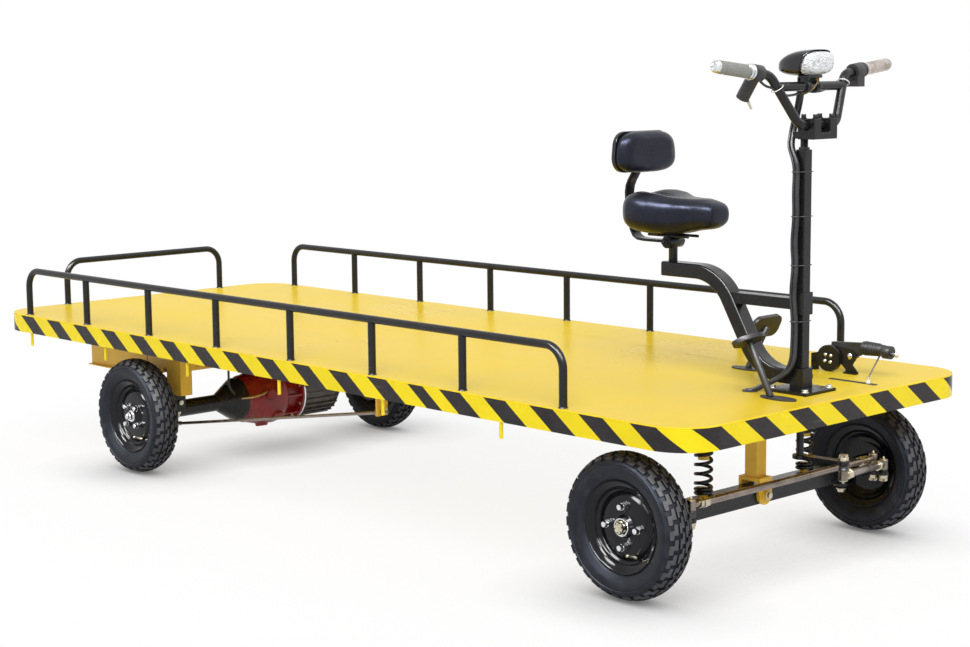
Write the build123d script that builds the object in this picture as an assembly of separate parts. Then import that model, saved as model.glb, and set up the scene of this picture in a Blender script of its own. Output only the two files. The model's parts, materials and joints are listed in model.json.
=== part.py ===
"""Electric platform cart: flat deck on four pneumatic wheels, ridden from a saddle at the front.

Millimetres. X points forward, Y to the driver's left, Z up. The origin is on the ground, under the
middle of the deck.
"""
import os
from math import atan2, degrees, radians, tan

from build123d import *

# Clearances
SEAT = 0.3          # between curved faces and between a socket and what stands in it
RUN = 0.05          # radial, between a pin or shaft and its bore

# Deck
DECK_LENGTH = 3200.0
DECK_WIDTH = 1200.0
DECK_TOP = 480.0
DECK_SHEET = 4.0
DECK_CORNER = 120.0
SKIRT_DEPTH = 62.0
SKIRT_SHEET = 4.0

# Deck frame
BEAM_Y = 400.0
BEAM_WIDTH = 40.0
BEAM_HEIGHT = 76.0
BEAM_END_GAP = 60.0
CROSS_WIDTH = 50.0
DEEP_CROSS_HEIGHT = 145.0
MIDDLE_CROSS_X = -224.0
HOOK_RADIUS = 5.0
HOOK_REAR_GAP = 192.0
HOOK_PITCH = 473.5
HOOK_COUNT = 6
HOOK_DROP = 45.0
HOOK_HEAD = 10.0

# Rails
RAIL_RADIUS = 11.0
RAIL_INSET = 17.0
RAIL_HEIGHT = 156.0
RAIL_BEND = 60.0
RAIL_REAR_GAP = 174.5
RAIL_FRONT_GAP = 423.5
RAIL_BAYS = 7
REAR_RAIL_HALF = 337.0

# Wheels
TYRE_RADIUS = 190.0
TYRE_WIDTH = 94.0
FRONT_OVERHANG = 272.5
FRONT_HALF_TRACK = 506.5
REAR_OVERHANG = 752.0
REAR_HALF_TRACK = 529.0
FLANGE_RADIUS = 119.0
BEAD_RADIUS = 103.0
RIM_HALF_WIDTH = 32.0
RIM_WALL = 4.0
DISC_FACE = 11.0
HUB_RADIUS = 30.0
HUB_OUT = 24.0
HUB_IN = 46.0
HUB_FLANGE = 62.0
RIM_SHEET = 5.0
STUB_RADIUS = 10.0
HALF_SHAFT_RADIUS = 12.5
DRUM_RADIUS = 76.0
DRUM_DEPTH = 40.0
SHAFT_GRIP = 60.0
DRUM_GAP = 8.0

# Front axle and steering
BEAM_AXLE_SIZE = 50.0
KINGPIN_Y = 390.0
KINGPIN_RADIUS = 10.0
KINGPIN_SLEEVE = 20.0
EAR_TOP_Z = 206.0
EAR_SHEET = 10.0
SLEEVE_HEIGHT = 38.0
TIE_ARM = 105.0
DRAG_ARM_X = 131.0
DRAG_ARM_Y = 12.0
TIE_Z = 240.0
DRAG_Z = 226.0
SOCKET_RADIUS = 13.0
SOCKET_HEIGHT = 26.0
STUD_RADIUS = 7.0
LINK_RADIUS = 8.0
PITMAN_Z = 300.0
PITMAN_SHEET = 10.0
PITMAN_BALL_Z = 272.0
SPRING_Y = 216.0
SPRING_RADIUS = 22.0
SPRING_WIRE = 5.0
SPRING_PITCH = 17.0
SPRING_TURNS = 7.0
SPIGOT_RADIUS = 15.0
SPIGOT_LENGTH = 24.0
PIVOT_RADIUS = 9.0
PIVOT_HEAD = 9.0
HANGER_POST = 40.0
FORK_GAP = 0.5
FORK_ROOF_GAP = 12.0
FORK_SHEET = 10.0
FORK_LENGTH = 54.0

# Rear axle
AXLE_TUBE_RADIUS = 28.5
BELL_RADIUS = 76.0
BELL_LENGTH = 90.0
GEARBOX_Y = (-125.0, 100.0)
GEARBOX_RADIUS = 98.0
GEARBOX_WAIST = 70.0
GEARBOX_RING = 95.0
GEARBOX_RIBS = 8
GEARBOX_RIB = 8.0
MOTOR_LENGTH = 160.0
MOTOR_RADIUS = 92.0
MOTOR_FINS = 24
MOTOR_FIN = 4.0
MOTOR_CAP = 36.0
MOTOR_CAP_RADIUS = 56.0
AXLE_CABLE_RADIUS = 4.0
AXLE_CABLE_X = 58.0
AXLE_CABLE_Y = -199.0
AXLE_CABLE_REACH = 60.0
HANGER_LENGTH = 190.0
HANGER_WIDTH = 46.0
HANGER_SHEET = 6.0
HANGER_BOTTOM = 250.0
HANGER_WINDOW = 30.0
SADDLE_BLOCK_LENGTH = 110.0
CRADLE_REAR_GAP = 300.0
CRADLE_GAP = 7.0
CRADLE_BOTTOM = 300.0
CRADLE_SHEET = 4.0
CRADLE_LIP = 14.0
BATTERY = (190.0, 400.0, 165.0)
BRAKE_ROD_RADIUS = 5.0
ROD_TAB_X = 250.0
ROD_TAB_SHEET = 8.0
ROD_TAB_DROP = 85.0
ROD_TAIL = 32.0
ROD_NUT = 20.0

# Column
COLUMN_SETBACK = 145.0
COLUMN_Y = 25.0
COLUMN_SIZE = 30.0
COLUMN_SHEET = 2.0
COLUMN_TOP = 1112.0
BASE_PLATE = 130.0
BASE_SHEET = 8.0
SLEEVE_SIZE = 42.0
SLEEVE_TOP = 542.0
COLLAR_SIZE = 40.0
COLLAR_Z = (683.0, 742.0)
SHAFT_RADIUS = 10.0
BUSH_LENGTH = 40.0

# Handlebar, with places ahead of the column and heights above its top or above the bar
BAR_RADIUS = 12.0
BAR_REACH = 41.0
BAR_LIFT = 64.0
BAR_FLARE = 28.0
BAR_SHOULDER = 157.0
BAR_SHOULDER_BACK = 33.0
BAR_RISE = 128.0
BAR_BEND = 42.0
CLAMP_HALF = 49.0
CLAMP_GAP = 19.0
CLAMP_HEAD = 27.0
CLAMP_NECK = 22.0
CLAMP_FLOOR = 18.0
CLAMP_UNDER = 36.0
CLAMP_OVER = 17.0
GRIP_HALF = 359.0
GRIP_REACH = 0.0
GRIP_RISE = 151.0
GRIP_LENGTH = 132.0
GRIP_RADIUS = 16.0
GRIP_CAP = 6.0
POD_LENGTH = 34.0
POD_RADIUS = 21.0
LOCK_RADIUS = 17.0
LOCK_LENGTH = 76.0
LOCK_LEAN = 33.0
SWITCH_BLOCK = (36.0, 30.0, 30.0)
CROSSBAR_RISE = 98.0
LAMP_WIDTH = 118.0
LAMP_HEIGHT = 70.0
LAMP_RISE = 122.0
LAMP_CLIP = 5.0
LAMP_CLIP_HALF = 20.0
LAMP_REAR = -73.0
LAMP_FRONT = 67.0
LENS_DEPTH = 26.0

# Seat, with places behind the column
SEAT_TUBE_WIDTH = 50.0
SEAT_TUBE_DEPTH = 40.0
SEAT_TUBE_EDGE = 6.0
SEAT_TUBE_TOP_Z = 771.5
SEAT_TUBE_FOOT_Z = 518.0
SEAT_TUBE_HEEL = 126.0
SEAT_TUBE_SLOPE = 59.8      # degrees
SEAT_TUBE_ARM = 191.5
SEAT_TUBE_BEND = 130.0
BRACE_HEIGHT = 29.0
BRACE_WIDTH = 38.0
BRACE_Z = 710.0
POST_BACK = 443.0
POST_RADIUS = 12.5
SADDLE_CLAMP_Z = 846.0
SADDLE_CLAMP_RADIUS = 17.0
SADDLE_CLAMP_HALF = 29.0
SADDLE_RAIL_RADIUS = 4.0
SADDLE_RAIL_Y = 21.0
SADDLE_RAIL_HALF = 72.0
SADDLE_BASE_Z = 868.0
SADDLE_TOP_Z = 995.0
SADDLE_NOSE_DROP = 26.0
SADDLE_BACK = 569.0
SADDLE_LENGTH = 296.0
SADDLE_WIDTH = 240.0
SADDLE_NOSE_WIDTH = 90.0
STAY_WIDTH = 34.0
STAY_SHEET = 8.0
STAY_BEND = 26.0
STAY_BEHIND = 56.0
REST_WIDTH = 236.0
REST_HEIGHT = 114.0
REST_TAPER = 13.0
REST_CORNER = 42.0
REST_BOTTOM = 1035.0
REST_BACK = 519.0
REST_PAD = 40.0
REST_SHELL = 12.0

# Floor controls
PEDAL_PLATE = (112.0, 46.0, 4.0)
PEDAL_STALK_RADIUS = 9.0
PEDAL_PAD = 12.0
PEDAL_PAD_CORNER = 24.0
HANDBRAKE_BACK = 137.0      # quadrant behind the column
HANDBRAKE_Y = 344.0
HANDBRAKE_SHEET = 5.0
QUADRANT_RADIUS = 37.0
QUADRANT_DRUM = 16.0
LEVER_WIDTH = 14.0
LEVER_PIVOT = (66.0, 48.0)
LEVER_BOSS = 20.0
LEVER_GRIP = (108.0, 172.0)
LEVER_GRIP_Z = 74.0
LEVER_GRIP_RADII = (19.0, 15.0)
LEVER_HEAD = 22.0
LEVER_BUTTON = 6.0
PULL_ROD_RADIUS = 2.4
SLOT = (147.0, 6.0)
SLOT_REACH = 15.0           # slot ahead of the column
SLOT_Y = 234.0
SLOT_ROD_GAP = 24.0
HARNESS_RADIUS = 8.0
HARNESS_BACK = 19.0
LOOM_GAP = 4.0
HARNESS_TAIL = (73.0, 62.0)

# Worked out from the above
WHEEL_Z = TYRE_RADIUS
DECK_UNDER = DECK_TOP - DECK_SHEET
SKIRT_BOTTOM = DECK_TOP - SKIRT_DEPTH
BEAM_BOTTOM = DECK_UNDER - BEAM_HEIGHT
HALF_LENGTH = DECK_LENGTH / 2
HALF_WIDTH = DECK_WIDTH / 2
FRONT_AXLE_X = HALF_LENGTH - FRONT_OVERHANG
REAR_AXLE_X = REAR_OVERHANG - HALF_LENGTH
RAIL_REAR_X = RAIL_REAR_GAP - HALF_LENGTH
RAIL_FRONT_X = HALF_LENGTH - RAIL_FRONT_GAP
COLUMN_X = HALF_LENGTH - COLUMN_SETBACK
BAR_X = COLUMN_X + BAR_REACH
BAR_Z = COLUMN_TOP + BAR_LIFT
CLAMP_BOTTOM = BAR_Z - CLAMP_UNDER
CLAMP_TOP = BAR_Z + CLAMP_OVER
GRIP_Z = BAR_Z + GRIP_RISE
CROSSBAR_Z = BAR_Z + CROSSBAR_RISE
LAMP_BOTTOM = BAR_Z + LAMP_RISE
GRIP_X = COLUMN_X + GRIP_REACH
POST_X = COLUMN_X - POST_BACK
SADDLE_REAR_X = COLUMN_X - SADDLE_BACK
SADDLE_NOSE_X = SADDLE_REAR_X + SADDLE_LENGTH
REST_FRONT_X = COLUMN_X - REST_BACK
REST_BACK_X = REST_FRONT_X - REST_PAD - REST_SHELL
SLOT_X = COLUMN_X + SLOT_REACH
BEAM_AXLE_TOP = WHEEL_Z + BEAM_AXLE_SIZE / 2
EAR_UNDER = EAR_TOP_Z - EAR_SHEET
SLEEVE_Z = (EAR_UNDER - SEAT - SLEEVE_HEIGHT, EAR_UNDER - SEAT)
EAR_LOW_TOP = SLEEVE_Z[0] - SEAT
SPRING_BOTTOM = BEAM_AXLE_TOP
SPRING_TOP = SPRING_BOTTOM + SPRING_PITCH * SPRING_TURNS + 2 * SPRING_WIRE
TIE_X = FRONT_AXLE_X + TIE_ARM
DRAG_KNUCKLE = (FRONT_AXLE_X + DRAG_ARM_X, KINGPIN_Y + DRAG_ARM_Y)
DRAG_PITMAN = (COLUMN_X + DRAG_ARM_X, COLUMN_Y + DRAG_ARM_Y)


def block(x, y, z):
    """A box between three pairs of limits."""
    size = [b - a for a, b in (x, y, z)]
    middle = [(a + b) / 2 for a, b in (x, y, z)]
    return Pos(*middle) * Box(*size)


def bar(start, end, radius):
    """A round bar from one point to another."""
    line = Vector(*end) - Vector(*start)
    place = Plane(origin=start, z_dir=line)
    return place * Cylinder(radius, line.length, align=(Align.CENTER, Align.CENTER, Align.MIN))


def upright(x, y, z, radius):
    return bar((x, y, z[0]), (x, y, z[1]), radius)


def across(x, y, z, radius):
    return bar((x, y[0], z), (x, y[1], z), radius)


def along(x, y, z, radius):
    return bar((x[0], y, z), (x[1], y, z), radius)


def bent(points, bend, radius):
    """A round tube through points, with arcs at the corners."""
    path = FilletPolyline(*points, radius=bend)
    return sweep(Plane(origin=path @ 0, z_dir=path % 0) * Circle(radius), path=path)


def strip(points, bend, width, sheet, edge=0.0):
    """A flat bar that lies in an XZ plane's path, with its width along Y."""
    path = FilletPolyline(*points, radius=bend)
    section = Plane(origin=path @ 0, x_dir=(0, 1, 0), z_dir=path % 0)
    shape = RectangleRounded(width, sheet, edge) if edge else Rectangle(width, sheet)
    return sweep(section * shape, path=path)


def turned(profile, y, z=WHEEL_Z, x=0.0, out=1):
    """A ring or disc about an axle: profile points are (axial, radius), axial along out * Y."""
    points = [(radius, out * axial) for axial, radius in profile]
    face = make_face(Polyline(*points, close=True))
    solid = revolve(face, axis=Axis.Y)
    return Pos(x, y, z) * solid


def mirrored(shape):
    return mirror(shape, about=Plane.XZ)


def outline(length, width, corner):
    return RectangleRounded(length, width, corner)


def plate(sketch, z, height):
    return Pos(0, 0, z) * extrude(sketch, height)


def finish(name, *shapes):
    """Writes one sub-part from one or more solids that do not touch."""
    solids = [solid for shape in shapes for solid in shape.solids()]
    whole = solids[0] if len(solids) == 1 else Compound(children=solids)
    export_step(whole, f"parts/{name}.step")


def deck():
    top = plate(outline(DECK_LENGTH, DECK_WIDTH, DECK_CORNER), DECK_UNDER, DECK_SHEET)
    slot = Pos(SLOT_X, SLOT_Y, DECK_UNDER) * extrude(SlotOverall(*SLOT), DECK_SHEET)
    shaft_hole = upright(COLUMN_X, COLUMN_Y, (DECK_UNDER, DECK_TOP), SHAFT_RADIUS + 5)
    finish("deck_plate", top - slot - shaft_hole)
    inner = outline(DECK_LENGTH - 2 * SKIRT_SHEET, DECK_WIDTH - 2 * SKIRT_SHEET, DECK_CORNER - SKIRT_SHEET)
    band = outline(DECK_LENGTH, DECK_WIDTH, DECK_CORNER) - inner
    finish("deck_skirt", plate(band, SKIRT_BOTTOM, DECK_UNDER - SKIRT_BOTTOM))


def frame():
    """Two long beams, cross members between and outside them, and the welded tabs below."""
    ends = HALF_LENGTH - BEAM_END_GAP
    inner = BEAM_Y - BEAM_WIDTH / 2
    outer = BEAM_Y + BEAM_WIDTH / 2
    skirt_inside = HALF_WIDTH - SKIRT_SHEET
    beam = block((-ends, ends), (inner, outer), (BEAM_BOTTOM, DECK_UNDER))
    shape = beam + mirrored(beam)
    rear_cross = REAR_AXLE_X + HANGER_LENGTH / 2 - CROSS_WIDTH / 2
    crosses = (
        # middle x, half width in y, bottom z
        (-ends + CROSS_WIDTH / 2, inner, BEAM_BOTTOM),
        (rear_cross, inner - HANGER_SHEET, DECK_UNDER - DEEP_CROSS_HEIGHT),
        (rear_cross, skirt_inside, BEAM_BOTTOM + BEAM_WIDTH / 2),
        (MIDDLE_CROSS_X, skirt_inside, BEAM_BOTTOM + BEAM_WIDTH / 2),
        (FRONT_AXLE_X, inner, BEAM_BOTTOM),
        (ends - CROSS_WIDTH / 2, inner, BEAM_BOTTOM),
    )
    for x, half, bottom in crosses:
        shape += block((x - CROSS_WIDTH / 2, x + CROSS_WIDTH / 2), (-half, half), (bottom, DECK_UNDER))
    for side in (-1, 1):
        seat_y = side * SPRING_Y
        shape += upright(FRONT_AXLE_X, seat_y, (SPRING_TOP, BEAM_BOTTOM), SPRING_RADIUS + SPRING_WIRE)
        shape += upright(FRONT_AXLE_X, seat_y, (SPRING_TOP - SPIGOT_LENGTH, SPRING_TOP), SPIGOT_RADIUS)
    rear, front = Vector(*brake_rod_rear()), Vector(*brake_rod_front())
    tab_x = (ROD_TAB_X, ROD_TAB_X + ROD_TAB_SHEET)
    tab = block(tab_x, (-outer, -inner), (BEAM_BOTTOM - ROD_TAB_DROP, BEAM_BOTTOM))
    finish("frame_beams", shape + (tab - bar(tuple(rear), tuple(front), BRAKE_ROD_RADIUS + SEAT)))


def brake_rod_rear():
    return (REAR_AXLE_X + 48, -BEAM_Y, WHEEL_Z - 40)


def brake_rod_front():
    return (ROD_TAB_X + ROD_TAIL, -BEAM_Y, BEAM_BOTTOM - ROD_TAB_DROP + 14)


def hooks():
    """Rope pegs welded to the inside of the skirt."""
    y = HALF_WIDTH - SKIRT_SHEET - HOOK_RADIUS - SEAT
    pieces = []
    for index in range(HOOK_COUNT):
        x = HOOK_REAR_GAP - HALF_LENGTH + index * HOOK_PITCH
        peg = upright(x, y, (SKIRT_BOTTOM - HOOK_DROP, DECK_UNDER - HOOK_HEAD), HOOK_RADIUS)
        pieces += [peg, mirrored(peg)]
    return pieces


def rails():
    y = HALF_WIDTH - RAIL_INSET
    top = DECK_TOP + RAIL_HEIGHT
    rear, front = RAIL_REAR_X, RAIL_FRONT_X
    ends = ((rear, y, DECK_TOP), (rear, y, top), (front, y, top), (front, y, DECK_TOP))
    hoop = bent(ends, RAIL_BEND, RAIL_RADIUS)
    finish("side_rails", hoop, mirrored(hoop))
    saddle = along((rear, front), y, top, RAIL_RADIUS + SEAT)
    pitch = (front - rear) / RAIL_BAYS
    posts = []
    for index in range(1, RAIL_BAYS):
        post = upright(rear + index * pitch, y, (DECK_TOP, top), RAIL_RADIUS) - saddle
        lower = post.solids().sort_by(Axis.Z)[0]
        posts += [lower, mirrored(lower)]
    finish("rail_posts", *posts)
    x = -(HALF_LENGTH - RAIL_INSET)
    half = REAR_RAIL_HALF
    points = ((x, -half, DECK_TOP), (x, -half, top), (x, half, top), (x, half, DECK_TOP))
    finish("rear_rail", bent(points, RAIL_BEND, RAIL_RADIUS))


def rim_profile():
    """Half-section of the pressed rim: two flanges, two bead seats and a drop centre."""
    seat = BEAD_RADIUS
    well = BEAD_RADIUS - 11
    edge = RIM_HALF_WIDTH
    lip = RIM_WALL
    outside = [(-edge, FLANGE_RADIUS), (-edge + lip, FLANGE_RADIUS), (-edge + lip, seat), (-10, seat - 2),
               (-6, well), (6, well), (10, seat - 2), (edge - lip, seat), (edge - lip, FLANGE_RADIUS),
               (edge, FLANGE_RADIUS)]
    inside = [(edge, seat - lip), (13, seat - 2 - lip), (9, well - lip), (-9, well - lip),
              (-13, seat - 2 - lip), (-edge, seat - lip)]
    return outside + inside


def rim(x, y, side):
    """Rim with its dished disc."""
    barrel = turned(rim_profile(), y, x=x, out=side)
    well = BEAD_RADIUS - 11 - RIM_WALL / 2
    hole = HUB_RADIUS - 6
    face, back = DISC_FACE, DISC_FACE - RIM_SHEET
    dish = [(-4, well), (back, well - 18), (back, hole), (face, hole), (face, well - 16), (1, well)]
    return barrel + turned(dish, y, x=x, out=side)


def front_wheel(name, side):
    """Rim and hub barrel bored for the stub axle."""
    y = side * FRONT_HALF_TRACK
    bore = STUB_RADIUS + RUN
    back = DISC_FACE - RIM_SHEET
    hub = [(-HUB_IN, bore), (-HUB_IN, HUB_RADIUS), (0, HUB_RADIUS), (0, HUB_FLANGE), (back, HUB_FLANGE),
           (back, HUB_RADIUS), (HUB_OUT, HUB_RADIUS - 6), (HUB_OUT, bore)]
    shape = rim(FRONT_AXLE_X, y, side) + turned(hub, y, x=FRONT_AXLE_X, out=side)
    finish(f"rim_{name}", shape)
    tyre(name, FRONT_AXLE_X, y)


def rear_wheel(name, side):
    """Rim, brake drum and the half shaft that runs in the axle tube."""
    y = side * REAR_HALF_TRACK
    inner = -(REAR_HALF_TRACK - axle_tube_end()) - SHAFT_GRIP
    hub = [(inner, 0), (inner, HALF_SHAFT_RADIUS), (-DRUM_DEPTH, HALF_SHAFT_RADIUS), (-DRUM_DEPTH, DRUM_RADIUS),
           (-2, DRUM_RADIUS), (DISC_FACE - RIM_SHEET, 50), (DISC_FACE, 40), (HUB_OUT, HUB_RADIUS - 4),
           (HUB_OUT, 0)]
    shape = rim(REAR_AXLE_X, y, side) + turned(hub, y, x=REAR_AXLE_X, out=side)
    finish(f"rim_{name}", shape)
    tyre(name, REAR_AXLE_X, y)


def tyre(name, x, y):
    half = TYRE_WIDTH / 2
    bead = RIM_HALF_WIDTH - RIM_WALL - SEAT
    inner = BEAD_RADIUS + SEAT
    lip = FLANGE_RADIUS + SEAT * 2
    shoulder = (half - 7, TYRE_RADIUS - 10)
    lines = [
        Line((inner, -bead), (inner, bead)),
        Line((inner, bead), (lip, bead)),
        ThreePointArc((lip, bead), (lip + 31, half), (shoulder[1], shoulder[0])),
        ThreePointArc((shoulder[1], shoulder[0]), (TYRE_RADIUS, 0), (shoulder[1], -shoulder[0])),
        ThreePointArc((shoulder[1], -shoulder[0]), (lip + 31, -half), (lip, -bead)),
        Line((lip, -bead), (inner, -bead)),
    ]
    face = make_face(Curve() + lines)
    finish(f"tyre_{name}", Pos(x, y, WHEEL_Z) * revolve(face, axis=Axis.Y))


def axle_tube_end():
    return REAR_HALF_TRACK - TYRE_WIDTH / 2 - DRUM_GAP


def rear_axle():
    """Axle tube with a bell on the gearbox, end flanges for the brakes, gearbox and motor in line."""
    end = axle_tube_end()
    bell_inner = GEARBOX_Y[0] - SEAT
    bell_outer = bell_inner - BELL_LENGTH
    near, far = GEARBOX_Y
    motor_start = far + SEAT
    motor_end = motor_start + MOTOR_LENGTH
    motor_cap_end = motor_end + MOTOR_CAP
    bell = [(bell_outer, 0), (bell_outer, AXLE_TUBE_RADIUS), (bell_inner - 14, BELL_RADIUS),
            (bell_inner, BELL_RADIUS), (bell_inner, 0)]
    right = across(REAR_AXLE_X, (-end, bell_outer), WHEEL_Z, AXLE_TUBE_RADIUS)
    right += turned(bell, 0, x=REAR_AXLE_X)
    left = across(REAR_AXLE_X, (motor_cap_end + SEAT, end), WHEEL_Z, AXLE_TUBE_RADIUS)
    pieces = []
    for shape, side in ((right, -1), (left, 1)):
        shape += across(REAR_AXLE_X, sorted((side * (end - 5), side * end)), WHEEL_Z, DRUM_RADIUS + 4)
        bore = sorted((side * (end - SHAFT_GRIP - 1), side * end))
        pieces.append(shape - across(REAR_AXLE_X, bore, WHEEL_Z, HALF_SHAFT_RADIUS + RUN))
    finish("rear_axle", *pieces)
    shares = (
        # share of the length, radius
        (0.00, 0.0),
        (0.00, BELL_RADIUS),
        (0.06, BELL_RADIUS + 6),
        (0.10, BELL_RADIUS + 6),
        (0.30, GEARBOX_RADIUS - 4),
        (0.42, GEARBOX_RADIUS),
        (0.58, GEARBOX_RADIUS),
        (0.70, GEARBOX_RADIUS - 8),
        (0.76, GEARBOX_WAIST),
        (0.96, GEARBOX_WAIST),
        (0.96, GEARBOX_RING),
        (1.00, GEARBOX_RING),
        (1.00, 0.0),
    )
    length = far - near
    box = turned([(near + share * length, radius) for share, radius in shares], 0, x=REAR_AXLE_X)
    thick = GEARBOX_RIB / 2
    web_y = (near + 0.66 * length, near + 0.98 * length)
    web = block((GEARBOX_WAIST - 4, GEARBOX_RING - 3), web_y, (-thick, thick))
    for index in range(GEARBOX_RIBS):
        box += Pos(REAR_AXLE_X, 0, WHEEL_Z) * Rot(0, index * 360 / GEARBOX_RIBS, 0) * web
    finish("gearbox", box)
    core = MOTOR_RADIUS - 8
    ring = (motor_start + 10, motor_end - 10)
    body = [(motor_start, 0), (motor_start, MOTOR_RADIUS), (ring[0], MOTOR_RADIUS), (ring[0], core),
            (ring[1], core), (ring[1], MOTOR_RADIUS - 4), (motor_end, MOTOR_RADIUS - 8),
            (motor_end, MOTOR_CAP_RADIUS), (motor_cap_end, MOTOR_CAP_RADIUS - 6), (motor_cap_end, 0)]
    motor = turned(body, 0, x=REAR_AXLE_X)
    fin = block((core - 3, MOTOR_RADIUS), (motor_start + 5, motor_end - 5), (-MOTOR_FIN / 2, MOTOR_FIN / 2))
    for index in range(MOTOR_FINS):
        motor += Pos(REAR_AXLE_X, 0, WHEEL_Z) * Rot(0, index * 360 / MOTOR_FINS, 0) * fin
    finish("drive_motor", motor)
    axle_cable(pieces[0])


def axle_cable(axle):
    """Cable from the deep cross member down to the bell."""
    x = REAR_AXLE_X + AXLE_CABLE_X
    y = AXLE_CABLE_Y
    end = (x - AXLE_CABLE_REACH / 3, y + AXLE_CABLE_REACH, WHEEL_Z)
    points = ((x, y, DECK_UNDER - DEEP_CROSS_HEIGHT - SEAT), (x, y, WHEEL_Z + AXLE_CABLE_REACH), end)
    cable = bent(points, 0.6 * AXLE_CABLE_REACH, AXLE_CABLE_RADIUS) - axle
    finish("axle_cable", cable.solids().sort_by(Axis.Z)[-1])


def rear_hangers():
    """Channels open inwards, each on a saddle block over the axle tube."""
    x = (REAR_AXLE_X - HANGER_LENGTH / 2, REAR_AXLE_X + HANGER_LENGTH / 2)
    outer = BEAM_Y + BEAM_WIDTH / 2
    y = (-outer, -(outer - HANGER_WIDTH))
    sheet = HANGER_SHEET
    shape = block(x, y, (HANGER_BOTTOM, BEAM_BOTTOM))
    pocket_z = (HANGER_BOTTOM + sheet, BEAM_BOTTOM - sheet)
    shape -= block((x[0] + sheet, x[1] - sheet), (y[0] + sheet, y[1]), pocket_z)
    half = HANGER_WINDOW / 2
    window_z = (HANGER_BOTTOM + 70 - half, HANGER_BOTTOM + 70 + half)
    shape -= block((REAR_AXLE_X - half, REAR_AXLE_X + half), (y[0], y[0] + sheet), window_z)
    finish("rear_hangers", shape, mirrored(shape))
    reach = SADDLE_BLOCK_LENGTH / 2
    saddle = block((REAR_AXLE_X - reach, REAR_AXLE_X + reach), y, (WHEEL_Z, HANGER_BOTTOM))
    saddle -= across(REAR_AXLE_X, y, WHEEL_Z, AXLE_TUBE_RADIUS + SEAT)
    finish("axle_saddles", saddle, mirrored(saddle))


def battery():
    """Deep side channels with a floor between them, and the cells."""
    outer = BEAM_Y + BEAM_WIDTH / 2
    sheet = CRADLE_SHEET
    top = BEAM_BOTTOM
    span = (CRADLE_REAR_GAP - HALF_LENGTH, REAR_AXLE_X - HANGER_LENGTH / 2 - CRADLE_GAP)
    floor = block(span, (-outer, outer), (CRADLE_BOTTOM, CRADLE_BOTTOM + sheet))
    wall = block(span, (outer - sheet, outer), (CRADLE_BOTTOM, top))
    lip = block(span, (outer, outer + CRADLE_LIP), (CRADLE_BOTTOM, CRADLE_BOTTOM + sheet))
    shape = floor + wall + mirrored(wall) + lip + mirrored(lip)
    finish("battery_cradle", shape)
    length, width, height = BATTERY
    x = sum(span) / 2
    floor_top = CRADLE_BOTTOM + sheet
    cells = block((x - length / 2, x + length / 2), (-width / 2, width / 2), (floor_top, floor_top + height))
    finish("battery_pack", cells)


def brake_rod():
    """Pull rod from the right drum's lever to the tab under the right-hand beam."""
    rear = brake_rod_rear()
    front = brake_rod_front()
    rod = bar(rear, front, BRAKE_ROD_RADIUS)
    lever = bar((rear[0], -axle_tube_end() + 5, rear[2]), (rear[0], -BEAM_Y + 8, rear[2]), 7)
    way = (Vector(*front) - Vector(*rear)).normalized()
    stop = Vector(*front) - way * ROD_TAIL
    nut = bar(tuple(stop - way * ROD_NUT), tuple(stop), ROD_NUT / 2)
    tab = block((ROD_TAB_X - SEAT, ROD_TAB_X + ROD_TAB_SHEET), (-HALF_WIDTH, HALF_WIDTH), (0, DECK_TOP))
    finish("brake_rod", rod + lever + (nut - tab))


def front_axle():
    half = BEAM_AXLE_SIZE / 2
    beam_end = KINGPIN_Y - 45
    x = (FRONT_AXLE_X - half, FRONT_AXLE_X + half)
    shape = block(x, (-beam_end, beam_end), (WHEEL_Z - half, BEAM_AXLE_TOP))
    shape -= along((x[0], x[1]), 0, WHEEL_Z, PIVOT_RADIUS + SEAT)
    neck_half = KINGPIN_SLEEVE - 2
    for side in (-1, 1):
        y = sorted((side * (beam_end - 5), side * KINGPIN_Y))
        neck_x = (FRONT_AXLE_X - neck_half, FRONT_AXLE_X + neck_half)
        neck = block(neck_x, y, (SLEEVE_Z[0] + 2, SLEEVE_Z[1] - 2))
        sleeve = upright(FRONT_AXLE_X, side * KINGPIN_Y, SLEEVE_Z, KINGPIN_SLEEVE)
        shape += neck + sleeve
        shape -= upright(FRONT_AXLE_X, side * KINGPIN_Y, SLEEVE_Z, KINGPIN_RADIUS + RUN)
    finish("front_beam_axle", shape)


def beam_hanger():
    """Square post with a fork that straddles the beam axle, and the pivot bolt through both."""
    post = HANGER_POST / 2
    half = BEAM_AXLE_SIZE / 2 + FORK_GAP
    roof_under = BEAM_AXLE_TOP + FORK_ROOF_GAP
    roof = roof_under + FORK_SHEET
    width = FORK_LENGTH / 2
    shape = block((FRONT_AXLE_X - post, FRONT_AXLE_X + post), (-post, post), (roof, BEAM_BOTTOM))
    outer = half + FORK_SHEET
    shape += block((FRONT_AXLE_X - outer, FRONT_AXLE_X + outer), (-width, width), (roof_under, roof))
    for side in (-1, 1):
        x = sorted((FRONT_AXLE_X + side * half, FRONT_AXLE_X + side * outer))
        ear = block(x, (-width, width), (WHEEL_Z, roof_under))
        ear += along(x, 0, WHEEL_Z, width)
        shape += ear
        head = sorted((FRONT_AXLE_X + side * outer, FRONT_AXLE_X + side * (outer + PIVOT_HEAD)))
        shape += along(head, 0, WHEEL_Z, PIVOT_RADIUS + 5)
    shape += along((FRONT_AXLE_X - outer, FRONT_AXLE_X + outer), 0, WHEEL_Z, PIVOT_RADIUS)
    finish("beam_hanger", shape)


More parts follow.
